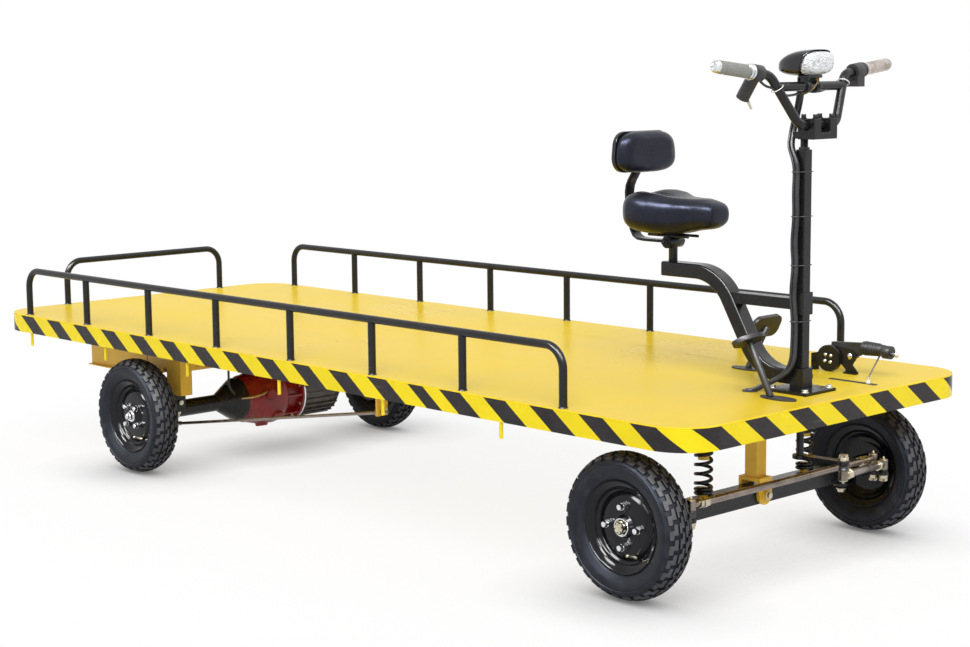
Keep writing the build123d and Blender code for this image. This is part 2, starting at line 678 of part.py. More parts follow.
def springs():
    pieces = []
    for side in (-1, 1):
        height = SPRING_PITCH * SPRING_TURNS
        coil = Helix(SPRING_PITCH, height, SPRING_RADIUS)
        start = Plane(origin=coil @ 0, z_dir=coil % 0)
        wire = sweep(start * Circle(SPRING_WIRE), path=coil, is_frenet=True)
        wire = Pos(FRONT_AXLE_X, side * SPRING_Y, SPRING_BOTTOM + SPRING_WIRE) * wire
        pieces.append(wire)
    finish("coil_springs", *pieces)


def knuckle(name, side):
    """Yoke over the kingpin sleeve, kingpin, steering arm with its ball studs, and stub axle."""
    y = side * KINGPIN_Y
    web_in = KINGPIN_Y + KINGPIN_SLEEVE + 6
    web_out = web_in + 12
    half = KINGPIN_SLEEVE + 2
    low = (EAR_LOW_TOP - EAR_SHEET, EAR_LOW_TOP)
    high = (EAR_UNDER, EAR_TOP_Z)
    web_y = sorted((side * web_in, side * web_out))
    x = (FRONT_AXLE_X - half, FRONT_AXLE_X + half)
    shape = block(x, web_y, (low[0], high[1]))
    for z in (low, high):
        shape += upright(FRONT_AXLE_X, y, z, half)
        shape += block(x, sorted((y, side * web_in)), z)
    shape += upright(FRONT_AXLE_X, y, (low[0] - 8, high[1] + 8), KINGPIN_RADIUS)
    studs = [(TIE_ARM, 0.0, TIE_Z)]
    if side > 0:
        studs.append((DRAG_ARM_X, DRAG_ARM_Y, DRAG_Z))
    for dx, dy, ball_z in studs:
        reach = (dx ** 2 + dy ** 2) ** 0.5
        turn = Rot(0, 0, degrees(atan2(dy, dx)))
        tip = (FRONT_AXLE_X + dx, y + dy)
        arm = Pos(FRONT_AXLE_X, y, 0) * turn * block((0, reach), (-13, 13), high)
        shape += arm + upright(*tip, high, 15)
        shape += upright(*tip, (high[0] - 12, high[0]), 11)
        shape += upright(*tip, (high[1], ball_z + SOCKET_HEIGHT / 2 - 8), STUD_RADIUS)
    shoulder = FRONT_HALF_TRACK - HUB_IN - SEAT
    tip_y = FRONT_HALF_TRACK + HUB_OUT + 2 * SEAT
    shape += across(FRONT_AXLE_X, sorted((side * web_out, side * shoulder)), WHEEL_Z, STUB_RADIUS + 6)
    shape += across(FRONT_AXLE_X, sorted((side * shoulder, side * tip_y)), WHEEL_Z, STUB_RADIUS)
    shape += across(FRONT_AXLE_X, sorted((side * tip_y, side * (tip_y + 12))), WHEEL_Z, STUB_RADIUS + 5)
    finish(f"knuckle_{name}", shape)


def socket(x, y, z, stud_from):
    """Ball-joint body with a bore for the stud, which comes from above or from below."""
    half = SOCKET_HEIGHT / 2
    body = upright(x, y, (z - half, z + half), SOCKET_RADIUS)
    if stud_from == "below":
        return body - upright(x, y, (z - half, z + half - 8 + SEAT), STUD_RADIUS + RUN)
    return body - upright(x, y, (z - half + 8 - SEAT, z + half), STUD_RADIUS + RUN)


def link(name, start, end, start_stud, end_stud):
    """Rod between two sockets."""
    a, b = Vector(*start), Vector(*end)
    way = (b - a).normalized()
    from_a, to_b = a + way * (SOCKET_RADIUS - 3), b - way * (SOCKET_RADIUS - 3)
    shape = bar(tuple(from_a), tuple(to_b), LINK_RADIUS)
    shape += socket(*start, start_stud) + socket(*end, end_stud)
    for (x, y, z), stud in ((start, start_stud), (end, end_stud)):
        depth = (z - SOCKET_HEIGHT / 2, z + SOCKET_HEIGHT / 2 - 8 + SEAT)
        if stud == "above":
            depth = (z - SOCKET_HEIGHT / 2 + 8 - SEAT, z + SOCKET_HEIGHT / 2)
        shape -= upright(x, y, depth, STUD_RADIUS + RUN)
    finish(name, shape)


def column():
    base = block((COLUMN_X - BASE_PLATE / 2, COLUMN_X + BASE_PLATE / 2),
                 (COLUMN_Y - BASE_PLATE / 2, COLUMN_Y + BASE_PLATE / 2), (DECK_TOP, DECK_TOP + BASE_SHEET))
    base -= upright(COLUMN_X, COLUMN_Y, (DECK_TOP, DECK_TOP + BASE_SHEET), SHAFT_RADIUS + 5)
    base_top = DECK_TOP + BASE_SHEET
    sleeve = square_tube(SLEEVE_SIZE, COLUMN_SIZE + 2 * SEAT, (base_top, SLEEVE_TOP))
    finish("column_base", base + sleeve)
    hollow = COLUMN_SIZE - 2 * COLUMN_SHEET
    finish("steering_column", square_tube(COLUMN_SIZE, hollow, (base_top, COLUMN_TOP)))
    bushes = []
    for low in (base_top + 10, COLUMN_TOP - BUSH_LENGTH):
        z = (low, low + BUSH_LENGTH)
        bush = square_tube(hollow - 2 * RUN, 0, z)
        if z[1] >= COLUMN_TOP:
            bush += upright(COLUMN_X, COLUMN_Y, (COLUMN_TOP, COLUMN_TOP + 6), COLUMN_SIZE / 2 - 1)
        bushes.append(bush - upright(COLUMN_X, COLUMN_Y, (low, COLUMN_TOP + 6), SHAFT_RADIUS + RUN))
    finish("column_bushes", *bushes)


def square_tube(size, bore, z):
    half = size / 2
    tube = block((COLUMN_X - half, COLUMN_X + half), (COLUMN_Y - half, COLUMN_Y + half), z)
    if bore:
        half = bore / 2
        tube -= block((COLUMN_X - half, COLUMN_X + half), (COLUMN_Y - half, COLUMN_Y + half), z)
    return tube


def steering_shaft():
    """Inner shaft with the arm under the deck that pulls the drag link."""
    x, y = DRAG_PITMAN
    z = (PITMAN_Z, PITMAN_Z + PITMAN_SHEET)
    shape = upright(COLUMN_X, COLUMN_Y, (PITMAN_Z, CLAMP_BOTTOM), SHAFT_RADIUS)
    shape += upright(COLUMN_X, COLUMN_Y, z, 20)
    reach = (DRAG_ARM_X ** 2 + DRAG_ARM_Y ** 2) ** 0.5
    turn = Rot(0, 0, degrees(atan2(DRAG_ARM_Y, DRAG_ARM_X)))
    shape += Pos(COLUMN_X, COLUMN_Y, 0) * turn * block((0, reach), (-14, 14), z)
    shape += upright(x, y, z, 16)
    shape += upright(x, y, (z[1], z[1] + 12), 11)
    shape += upright(x, y, (PITMAN_BALL_Z - SOCKET_HEIGHT / 2 + 8, z[0]), STUD_RADIUS)
    finish("steering_shaft", shape)


def handlebar_points(side):
    """Half of the bar's path, from the clamp out to the grip's end."""
    return (
        (BAR_X, COLUMN_Y, BAR_Z),
        (BAR_X, COLUMN_Y + side * (CLAMP_HALF + BAR_FLARE), BAR_Z),
        (BAR_X - BAR_SHOULDER_BACK, COLUMN_Y + side * BAR_SHOULDER, BAR_Z + BAR_RISE),
        (GRIP_X, COLUMN_Y + side * GRIP_HALF, GRIP_Z),
    )


def handlebar():
    right = handlebar_points(-1)
    left = handlebar_points(1)
    path = tuple(reversed(right[1:])) + left[1:]
    shape = bent(path, BAR_BEND, BAR_RADIUS)
    low, high = left[1], left[2]
    share = (CROSSBAR_Z - low[2]) / (high[2] - low[2])
    x = low[0] + share * (high[0] - low[0])
    half = low[1] + share * (high[1] - low[1]) - COLUMN_Y
    shape += across(x, (COLUMN_Y - half, COLUMN_Y + half), CROSSBAR_Z, BAR_RADIUS)
    finish("handlebar", shape)
    bar_clamp()
    bar_loom(x)
    grips()
    lamp(x)


def bar_clamp():
    """Neck on the shaft's end, a bridge, and two heads that grip the bar."""
    floor = (CLAMP_BOTTOM, CLAMP_BOTTOM + CLAMP_FLOOR)
    shape = block((COLUMN_X - CLAMP_NECK, BAR_X), (COLUMN_Y - CLAMP_NECK, COLUMN_Y + CLAMP_NECK), floor)
    x = (BAR_X - CLAMP_HEAD, BAR_X + CLAMP_HEAD)
    shape += block(x, (COLUMN_Y - CLAMP_HALF, COLUMN_Y + CLAMP_HALF), floor)
    for side in (-1, 1):
        y = sorted((COLUMN_Y + side * CLAMP_GAP, COLUMN_Y + side * CLAMP_HALF))
        shape += block(x, y, (CLAMP_BOTTOM, CLAMP_TOP))
    shape -= across(BAR_X, (COLUMN_Y - CLAMP_HALF, COLUMN_Y + CLAMP_HALF), BAR_Z, BAR_RADIUS + SEAT)
    finish("bar_clamp", shape)


def bar_loom(crossbar_x):
    """Cables from the lamp's clip down to behind the clamp, where they leave for the column."""
    r = HARNESS_RADIUS
    start = crossbar_x - BAR_RADIUS - LAMP_CLIP - r - SEAT
    behind = COLUMN_X - CLAMP_NECK - r - LOOM_GAP
    points = ((start, COLUMN_Y, LAMP_BOTTOM - SEAT), (start, COLUMN_Y, CROSSBAR_Z - BAR_RADIUS),
              (behind, COLUMN_Y + r, BAR_Z), (behind + LOOM_GAP, COLUMN_Y - r, COLUMN_TOP + r))
    finish("bar_loom", bent(points, 2 * r, r))


def grip_axis(side):
    inner, outer = Vector(*handlebar_points(side)[2]), Vector(*handlebar_points(side)[3])
    return outer, (outer - inner).normalized()


def grips():
    """Rubber grips slid over the bar's ends, and the throttle, lock and switch bodies inboard of them."""
    pieces, pods = [], []
    for side in (-1, 1):
        outer, way = grip_axis(side)
        start = outer - way * GRIP_LENGTH
        grip = bar(tuple(start), tuple(outer + way * GRIP_CAP), GRIP_RADIUS)
        grip -= bar(tuple(start), tuple(outer + way * SEAT), BAR_RADIUS + SEAT)
        pieces.append(grip)
        pod = bar(tuple(start - way * POD_LENGTH), tuple(start - way), POD_RADIUS)
        body = start - way * POD_LENGTH / 2
        if side < 0:
            pod += Pos(*body) * Rot(0, LOCK_LEAN + 180, 0) * Cylinder(
                LOCK_RADIUS, LOCK_LENGTH, align=(Align.CENTER, Align.CENTER, Align.MIN))
        else:
            length, width, height = SWITCH_BLOCK
            pod += block((body.X - length / 2, body.X + length / 2), (body.Y - width / 2, body.Y + width / 2),
                         (body.Z - POD_RADIUS / 2 - height, body.Z - POD_RADIUS / 2))
        pod -= bar(tuple(start - way * 2 * POD_LENGTH), tuple(outer), BAR_RADIUS + SEAT)
        pods.append(pod)
    finish("grips", *pieces)
    finish("switch_pods", *pods)


def lamp(crossbar_x):
    """Rounded head lamp on a bracket that clips round the crossbar."""
    y = COLUMN_Y
    z = LAMP_BOTTOM + LAMP_HEIGHT / 2
    rear = COLUMN_X + LAMP_REAR
    tip = COLUMN_X + LAMP_FRONT
    front = tip - LENS_DEPTH
    sections = (
        # x, width, height
        (rear, LAMP_WIDTH * 0.5, LAMP_HEIGHT * 0.5),
        (rear + 45, LAMP_WIDTH * 0.86, LAMP_HEIGHT * 0.86),
        (front, LAMP_WIDTH, LAMP_HEIGHT),
    )
    faces = [lamp_section(*section, y, z) for section in sections]
    shell = loft(faces)
    clip_y = (y - LAMP_CLIP_HALF, y + LAMP_CLIP_HALF)
    bracket = block((crossbar_x - BAR_RADIUS, crossbar_x + BAR_RADIUS), clip_y, (CROSSBAR_Z, LAMP_BOTTOM + 8))
    clip = across(crossbar_x, clip_y, CROSSBAR_Z, BAR_RADIUS + LAMP_CLIP)
    bore = across(crossbar_x, clip_y, CROSSBAR_Z, BAR_RADIUS + SEAT)
    finish("headlamp_shell", shell + (bracket + clip - bore))
    lens_faces = [lamp_section(front + SEAT, LAMP_WIDTH, LAMP_HEIGHT, y, z),
                  lamp_section(tip, LAMP_WIDTH * 0.78, LAMP_HEIGHT * 0.72, y, z)]
    finish("headlamp_lens", loft(lens_faces))


def lamp_section(x, width, height, y, z):
    place = Plane(origin=(x, y, z), x_dir=(0, 1, 0), z_dir=(1, 0, 0))
    return place * RectangleRounded(width, height, height * 0.42)


def seat_frame():
    """Bent tube from the column's foot up and back, its brace, the seat post and the backrest's stay."""
    y = COLUMN_Y
    foot_end = COLUMN_X - SLEEVE_SIZE / 2
    heel_x = COLUMN_X - SEAT_TUBE_HEEL
    knee_x = heel_x - (SEAT_TUBE_TOP_Z - SEAT_TUBE_FOOT_Z) / tan(radians(SEAT_TUBE_SLOPE))
    points = ((knee_x - SEAT_TUBE_ARM, y, SEAT_TUBE_TOP_Z), (knee_x, y, SEAT_TUBE_TOP_Z),
              (heel_x, y, SEAT_TUBE_FOOT_Z), (foot_end, y, SEAT_TUBE_FOOT_Z))
    tube = strip(points, SEAT_TUBE_BEND, SEAT_TUBE_WIDTH, SEAT_TUBE_DEPTH, SEAT_TUBE_EDGE)
    finish("seat_frame", tube)
    collar = square_tube(COLLAR_SIZE, COLUMN_SIZE + 2 * SEAT, COLLAR_Z)
    half = BRACE_HEIGHT / 2
    brace = block((knee_x, COLUMN_X - COLLAR_SIZE / 2), (y - BRACE_WIDTH / 2, y + BRACE_WIDTH / 2),
                  (BRACE_Z - half, BRACE_Z + half)) - tube
    brace = brace.solids().sort_by(Axis.X)[-1]
    finish("seat_brace", collar + brace)
    tube_top = SEAT_TUBE_TOP_Z + SEAT_TUBE_DEPTH / 2
    post = upright(POST_X, y, (tube_top, SADDLE_CLAMP_Z), POST_RADIUS)
    clamp_y = (y - SADDLE_CLAMP_HALF, y + SADDLE_CLAMP_HALF)
    post += across(POST_X, clamp_y, SADDLE_CLAMP_Z, SADDLE_CLAMP_RADIUS)
    rail_z = SADDLE_BASE_Z - SADDLE_RAIL_RADIUS - SEAT
    for side in (-1, 1):
        rail_x = (POST_X - SADDLE_RAIL_HALF, POST_X + SADDLE_RAIL_HALF)
        post += along(rail_x, y + side * SADDLE_RAIL_Y, rail_z, SADDLE_RAIL_RADIUS)
    finish("seat_post", post)
    back = REST_BACK_X - STAY_SHEET / 2
    behind = SADDLE_REAR_X - STAY_BEHIND
    rise = REST_BOTTOM - SADDLE_CLAMP_Z
    stay_points = ((POST_X - SADDLE_CLAMP_RADIUS - SEAT, y, SADDLE_CLAMP_Z),
                   (SADDLE_REAR_X + STAY_SHEET / 2, y, SADDLE_CLAMP_Z - 0.07 * rise),
                   (behind, y, SADDLE_CLAMP_Z + 0.29 * rise), (behind, y, SADDLE_CLAMP_Z + 0.63 * rise),
                   (back, y, SADDLE_CLAMP_Z + 0.96 * rise), (back, y, REST_BOTTOM + REST_HEIGHT * 0.6))
    finish("backrest_stay", strip(stay_points, STAY_BEND, STAY_WIDTH, STAY_SHEET))


def saddle():
    """Plain cushion volume: broad rear, narrow nose, pan underneath."""
    y = COLUMN_Y
    rear, nose = SADDLE_REAR_X, SADDLE_NOSE_X
    wide, narrow = SADDLE_WIDTH / 2, SADDLE_NOSE_WIDTH / 2
    waist = rear + 0.56 * (nose - rear)
    half = (
        # x, half width
        (rear, wide * 0.62),
        (rear + 36, wide * 0.96),
        (rear + 100, wide),
        (waist, narrow + 26),
        (nose - 26, narrow),
        (nose, narrow * 0.6),
    )
    points = [(x, y + w) for x, w in half] + [(x, y - w) for x, w in reversed(half)]
    low = make_face(Polyline(*points, close=True))
    body = Pos(0, 0, SADDLE_BASE_Z) * extrude(low, SADDLE_TOP_Z - SADDLE_BASE_Z)
    drop = SADDLE_TOP_Z - SADDLE_NOSE_DROP
    over = SADDLE_TOP_Z + 1
    slope = ((waist, over), (waist, SADDLE_TOP_Z), (nose, drop), (nose + 1, drop), (nose + 1, over))
    wedge = Plane.XZ * make_face(Polyline(*slope, close=True))
    body -= extrude(wedge, amount=SADDLE_WIDTH * 2, both=True)
    finish("saddle", body)


def rest_outline():
    """Backrest outline: a trapezium, wider below, with round corners."""
    half, low = REST_WIDTH / 2, REST_HEIGHT / 2
    corners = ((-half, -low), (half, -low), (half - REST_TAPER, low), (REST_TAPER - half, low))
    face = make_face(Polyline(*corners, close=True))
    return fillet(face.vertices(), REST_CORNER)


def backrest():
    z = REST_BOTTOM + REST_HEIGHT / 2
    shape = rest_outline()
    pad_x = REST_BACK_X + REST_SHELL
    layers = (("backrest_pad", pad_x, REST_PAD), ("backrest_shell", REST_BACK_X, REST_SHELL))
    for name, x, depth in layers:
        place = Plane(origin=(x, COLUMN_Y, z), x_dir=(0, 1, 0), z_dir=(1, 0, 0))
        finish(name, place * extrude(shape, depth))


def pedals():
    """Two floor pedals, each on an oval plate: a round pad at the right, a square one at the left."""
    length, width, sheet = PEDAL_PLATE
    table = (
        # plate x from the column, plate y, foot from the plate, stalk rise, pad size, tilt, square
        (32.0, -112.0, -25.0, (-70.0, 0.0, 134.0), (72.0, 108.0), 31.0, False),
        (-320.0, 205.5, 0.0, (22.0, 55.0, 112.0), (66.0, 120.0), 65.0, True),
    )
    plates, levers = [], []
    for dx, y, foot_dx, (rise_x, rise_y, rise_z), (pad_length, pad_width), tilt, square in table:
        x = COLUMN_X + dx
        plates.append(Pos(x, y, DECK_TOP) * extrude(Ellipse(length / 2, width / 2), sheet))
        foot = (x + foot_dx, y, DECK_TOP + sheet)
        top = (foot[0] + rise_x, y + rise_y, foot[2] + rise_z)
        reach = 3 * length
        above = block((x - reach, x + reach), (y - reach, y + reach), (foot[2], foot[2] + reach))
        stalk = bar(foot, top, PEDAL_STALK_RADIUS) & above
        outline = Ellipse(pad_length / 2, pad_width / 2)
        if square:
            outline = RectangleRounded(pad_length, pad_width, PEDAL_PAD_CORNER)
        pad = Pos(*top) * Rot(0, -tilt, 0) * extrude(outline, PEDAL_PAD)
        levers.append(stalk + pad)
    finish("pedal_plates", *plates)
    finish("pedals", *levers)


def handbrake():
    """Car-type lever on a bracket with a round quadrant, and its pull rod through the deck slot."""
    x = COLUMN_X - HANDBRAKE_BACK
    sheet = HANDBRAKE_SHEET
    r = QUADRANT_RADIUS
    pivot_x, pivot_z = LEVER_PIVOT
    side = Plane(origin=(x, HANDBRAKE_Y, DECK_TOP), x_dir=(1, 0, 0), z_dir=(0, -1, 0))
    arch = ((0, 2 * r), (pivot_x, pivot_z + LEVER_BOSS), (pivot_x + LEVER_BOSS, pivot_z), (pivot_x + 8, 24),
            (pivot_x + 26, 6), (pivot_x + 26, 0), (pivot_x - 14, 0), (pivot_x - 14, 10), (r, 24), (0, 6))
    tab = ((-1.75 * r, 0), (-1.1 * r, 0), (-1.1 * r, 12), (-0.8 * r, 0.6 * r), (-0.8 * r, 1.4 * r),
           (-1.75 * r, 1.2 * r))
    profile = Pos(0, r) * Circle(r) + Pos(pivot_x, pivot_z) * Circle(LEVER_BOSS)
    for points in (arch, tab):
        profile += make_face(Polyline(*points, close=True))
    bracket = side * extrude(profile, sheet)
    drum_y = (HANDBRAKE_Y - QUADRANT_DRUM, HANDBRAKE_Y)
    bracket += across(x, drum_y, DECK_TOP + r, r)
    for foot in ((-1.75 * r, -1.1 * r), (pivot_x - 14, pivot_x + 26)):
        bracket += block((x + foot[0], x + foot[1]), drum_y, (DECK_TOP, DECK_TOP + sheet))
    finish("handbrake_bracket", bracket)
    lever_y = (HANDBRAKE_Y + SEAT, HANDBRAKE_Y + LEVER_WIDTH)
    middle = sum(lever_y) / 2
    grip_z = DECK_TOP + LEVER_GRIP_Z
    start, end = (x + reach for reach in LEVER_GRIP)
    big, small = LEVER_GRIP_RADII
    arm = ((0, 2 * r - 8), (0, 2 * r + 8), (LEVER_GRIP[0], LEVER_GRIP_Z + big - 4),
           (LEVER_GRIP[0], LEVER_GRIP_Z - big + 4), (pivot_x + LEVER_BOSS, pivot_z),
           (pivot_x, pivot_z - LEVER_BOSS + 4))
    slab = Plane(origin=(x, lever_y[0], DECK_TOP), x_dir=(1, 0, 0), z_dir=(0, -1, 0))
    lever = slab * extrude(make_face(Polyline(*arm, close=True)), -(lever_y[1] - lever_y[0]))
    cone = Plane(origin=(start - 4, middle, grip_z), z_dir=(1, 0, 0))
    lever += cone * Cone(big, small, end - start + 4, align=(Align.CENTER, Align.CENTER, Align.MIN))
    lever += along((end - 1, end + LEVER_HEAD), middle, grip_z - 4, small + 3)
    lever += along((end + LEVER_HEAD, end + LEVER_HEAD + 8), middle, grip_z - 8, LEVER_BUTTON)
    finish("handbrake_lever", lever)
    top = (end - LEVER_HEAD / 2, middle, grip_z - small / 2)
    foot = (SLOT_X + SLOT[0] / 2 - SLOT_ROD_GAP, SLOT_Y, DECK_TOP)
    knee = (foot[0], foot[1], DECK_TOP + 4 * DECK_SHEET)
    rod = bent((top, knee, (foot[0], foot[1], DECK_UNDER)), 2 * DECK_SHEET, PULL_ROD_RADIUS) - lever
    finish("handbrake_rod", rod.solids().sort_by(Axis.Z)[0])


def harness():
    """Cable loom tied to the column's right-hand rear edge and led into the floor."""
    r = HARNESS_RADIUS
    x = COLUMN_X - HARNESS_BACK
    y = COLUMN_Y - COLLAR_SIZE / 2 - r - SEAT
    back, out = HARNESS_TAIL
    points = ((x, y, COLUMN_TOP - 4), (x, y, DECK_TOP + 100), (x - back, y - out, DECK_TOP - 24))
    loom = bent(points, 70, r)
    above = block((x - 2 * back, x + back), (y - 2 * out, y + out), (DECK_TOP, COLUMN_TOP))
    finish("wiring_harness", loom & above)


def main():
    os.makedirs("parts", exist_ok=True)
    deck()
    frame()
    finish("rope_hooks", *hooks())
    rails()
    for name, side in (("front_right", -1), ("front_left", 1)):
        front_wheel(name, side)
    for name, side in (("rear_right", -1), ("rear_left", 1)):
        rear_wheel(name, side)
    rear_axle()
    rear_hangers()
    battery()
    brake_rod()
    front_axle()
    beam_hanger()
    springs()
    for name, side in (("right", -1), ("left", 1)):
        knuckle(name, side)
    link("tie_rod", (TIE_X, -KINGPIN_Y, TIE_Z), (TIE_X, KINGPIN_Y, TIE_Z), "below", "below")
    link("drag_link", (*DRAG_PITMAN, PITMAN_BALL_Z), (*DRAG_KNUCKLE, DRAG_Z), "above", "below")
    column()
    steering_shaft()
    handlebar()
    seat_frame()
    saddle()
    backrest()
    pedals()
    handbrake()
    harness()


main()
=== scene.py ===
"""Electric platform cart: finishes, tyres, cushions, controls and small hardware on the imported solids.

Lengths are in metres. X runs forward along the deck, Y to the left and Z up.
"""
import json
import math

import bmesh
import bpy
from mathutils import Matrix, Vector


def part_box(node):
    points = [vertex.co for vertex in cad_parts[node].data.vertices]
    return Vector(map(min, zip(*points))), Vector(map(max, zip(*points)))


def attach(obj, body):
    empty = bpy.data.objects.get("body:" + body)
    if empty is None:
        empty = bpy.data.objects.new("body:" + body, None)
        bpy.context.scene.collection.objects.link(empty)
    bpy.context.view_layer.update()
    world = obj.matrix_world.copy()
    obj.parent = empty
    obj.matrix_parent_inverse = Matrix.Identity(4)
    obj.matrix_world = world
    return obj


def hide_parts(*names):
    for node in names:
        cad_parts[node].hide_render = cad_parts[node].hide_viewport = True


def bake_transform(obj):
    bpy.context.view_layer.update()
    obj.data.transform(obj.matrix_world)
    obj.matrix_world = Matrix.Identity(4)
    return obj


bl_info = {
    "name": "Electric Platform Cart",
    "version": (1, 0, 0),
    "blender": (4, 5, 0),
    "location": "View3D > Sidebar > Cart",
    "description": "Dresses the solids of an electric platform cart",
    "category": "Object",
}

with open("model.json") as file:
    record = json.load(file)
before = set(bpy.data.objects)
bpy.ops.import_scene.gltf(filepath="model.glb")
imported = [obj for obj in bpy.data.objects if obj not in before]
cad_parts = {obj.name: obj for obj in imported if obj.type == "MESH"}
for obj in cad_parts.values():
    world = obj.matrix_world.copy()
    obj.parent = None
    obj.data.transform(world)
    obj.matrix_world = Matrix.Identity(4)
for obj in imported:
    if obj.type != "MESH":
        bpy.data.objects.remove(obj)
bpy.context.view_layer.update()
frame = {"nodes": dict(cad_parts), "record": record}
NODES = frame["nodes"]
X = Vector((1.0, 0.0, 0.0))
Y = Vector((0.0, 1.0, 0.0))
Z = Vector((0.0, 0.0, 1.0))


def colour(label, words, default):
    """A colour setting."""
    return bpy.props.FloatVectorProperty(
        name=label, description=words, subtype="COLOR", size=3, min=0.0, max=1.0, default=default)


def length(label, words, default):
    """A length setting in metres."""
    return bpy.props.FloatProperty(name=label, description=words, default=default, min=0.0, unit="LENGTH")


class CartColours(bpy.types.PropertyGroup):
    """Paint, rubber and cover colours."""
    deck: colour("Deck", "Gloss paint on the deck sheet", (0.86, 0.595, 0.014))
    deck_pale: colour("Deck, faded", "Lighter cast of the deck paint", (0.90, 0.655, 0.035))
    stripe_light: colour("Light stripe", "Yellow stripes of the skirt", (0.80, 0.63, 0.008))
    stripe_dark: colour("Dark stripe", "Dark stripes of the skirt", (0.020, 0.017, 0.018))
    under_frame: colour("Frame", "Paint on the frame below the deck", (0.80, 0.50, 0.050))
    tube_black: colour("Tube black", "Satin paint on rails, column and seat frame", (0.0075, 0.0075, 0.008))
    rim_black: colour("Rim black", "Gloss paint on the rims", (0.005, 0.005, 0.007))
    gearbox: colour("Gearbox", "Paint on the rear gearbox", (0.30, 0.010, 0.010))
    tyre: colour("Tyre", "Tyre rubber", (0.0100, 0.0103, 0.0125))
    cover: colour("Seat cover", "Cover of the saddle and backrest", (0.0085, 0.0088, 0.0115))
    grip: colour("Grip", "Rubber of the handlebar grips", (0.24, 0.245, 0.225))


class CartSizes(bpy.types.PropertyGroup):
    """Sizes of what is added to the solids."""
    stripe_pitch: length("Stripe pitch", "Length of one dark and one light stripe", 0.1718)
    stripe_start: length("Stripe start", "Shift of the stripes along the skirt", 0.1172)
    tape_joint: length("Tape joint", "Where the near side's striped tape is joined", 1.3196)
    tape_lap: length("Tape lap", "Shift of the stripes past the joint", 0.0434)
    lug_height: length("Lug height", "Depth of the tread", 0.0060)
    wheel_nut: length("Wheel nut", "Corner radius of a wheel nut", 0.0105)
    swell: length("Cushion swell", "Furthest that a cushion's cover moves out", 0.005)
    cable_tie: length("Cable tie", "Thickness of a cable tie", 0.0013)


def colours():
    return bpy.context.scene.cart_colours


def sizes():
    return bpy.context.scene.cart_sizes


# Shared node groups

# Sockets of a node that mixes colours
MIX_SHARE, MIX_FIRST, MIX_SECOND, MIX_COLOUR = 0, 6, 7, 2


def new_node(tree, kind, operation=None, **values):
    """A node with its operation and the values of its inputs."""
    made = tree.nodes.new(kind)
    if operation:
        made.operation = operation
    for label, value in values.items():
        made.inputs[label].default_value = value
    return made


def colour_mix(tree):
    """A node that mixes two colours."""
    made = tree.nodes.new("ShaderNodeMix")
    made.data_type = "RGBA"
    return made


def wire(tree, *pairs):
    """Links each output to its input."""
    for output, socket in pairs:
        tree.links.new(output, socket)


def new_group(name, inputs, outputs):
    """An empty shader node group with its sockets."""
    tree = bpy.data.node_groups.new(name, "ShaderNodeTree")
    for label, kind, value in inputs:
        socket = tree.interface.new_socket(label, in_out="INPUT", socket_type=kind)
        if value is not None:
            socket.default_value = value
    for label, kind in outputs:
        tree.interface.new_socket(label, in_out="OUTPUT", socket_type=kind)
    return tree, tree.nodes.new("NodeGroupInput"), tree.nodes.new("NodeGroupOutput")


def mottle_group():
    """Cloudy mix of two colours, as on sprayed paint that has aged."""
    if "Mottle" in bpy.data.node_groups:
        return bpy.data.node_groups["Mottle"]
    tree, start, end = new_group(
        "Mottle",
        (("Vector", "NodeSocketVector", None), ("Scale", "NodeSocketFloat", 4.0),
         ("Dark", "NodeSocketColor", (0, 0, 0, 1)), ("Light", "NodeSocketColor", (1, 1, 1, 1))),
        (("Color", "NodeSocketColor"), ("Mask", "NodeSocketFloat")))
    noise = new_node(tree, "ShaderNodeTexNoise", Detail=5.0, Roughness=0.6)
    spread = new_node(tree, "ShaderNodeMapRange", **{"From Min": 0.34, "From Max": 0.68})
    mix = colour_mix(tree)
    wire(
        tree,
        (start.outputs["Vector"], noise.inputs["Vector"]),
        (start.outputs["Scale"], noise.inputs["Scale"]),
        (noise.outputs["Fac"], spread.inputs["Value"]),
        (spread.outputs["Result"], mix.inputs[MIX_SHARE]),
        (start.outputs["Dark"], mix.inputs[MIX_FIRST]),
        (start.outputs["Light"], mix.inputs[MIX_SECOND]),
        (mix.outputs[MIX_COLOUR], end.inputs["Color"]),
        (spread.outputs["Result"], end.inputs["Mask"]))
    return tree


def scuff_group():
    """Thin streaks and specks, as a mask."""
    if "Scuffs" in bpy.data.node_groups:
        return bpy.data.node_groups["Scuffs"]
    tree, start, end = new_group(
        "Scuffs",
        (("Vector", "NodeSocketVector", None), ("Scale", "NodeSocketFloat", 30.0),
         ("Stretch", "NodeSocketVector", (1.0, 14.0, 6.0)), ("Amount", "NodeSocketFloat", 0.5)),
        (("Mask", "NodeSocketFloat"),))
    squeeze = new_node(tree, "ShaderNodeVectorMath", "MULTIPLY")
    noise = new_node(tree, "ShaderNodeTexNoise", Detail=3.0)
    cut = new_node(tree, "ShaderNodeMapRange", **{"From Min": 0.64, "From Max": 0.76})
    scale = new_node(tree, "ShaderNodeMath", "MULTIPLY")
    wire(
        tree,
        (start.outputs["Vector"], squeeze.inputs[0]),
        (start.outputs["Stretch"], squeeze.inputs[1]),
        (squeeze.outputs["Vector"], noise.inputs["Vector"]),
        (start.outputs["Scale"], noise.inputs["Scale"]),
        (noise.outputs["Fac"], cut.inputs["Value"]),
        (cut.outputs["Result"], scale.inputs[0]),
        (start.outputs["Amount"], scale.inputs[1]),
        (scale.outputs["Value"], end.inputs["Mask"]))
    return tree


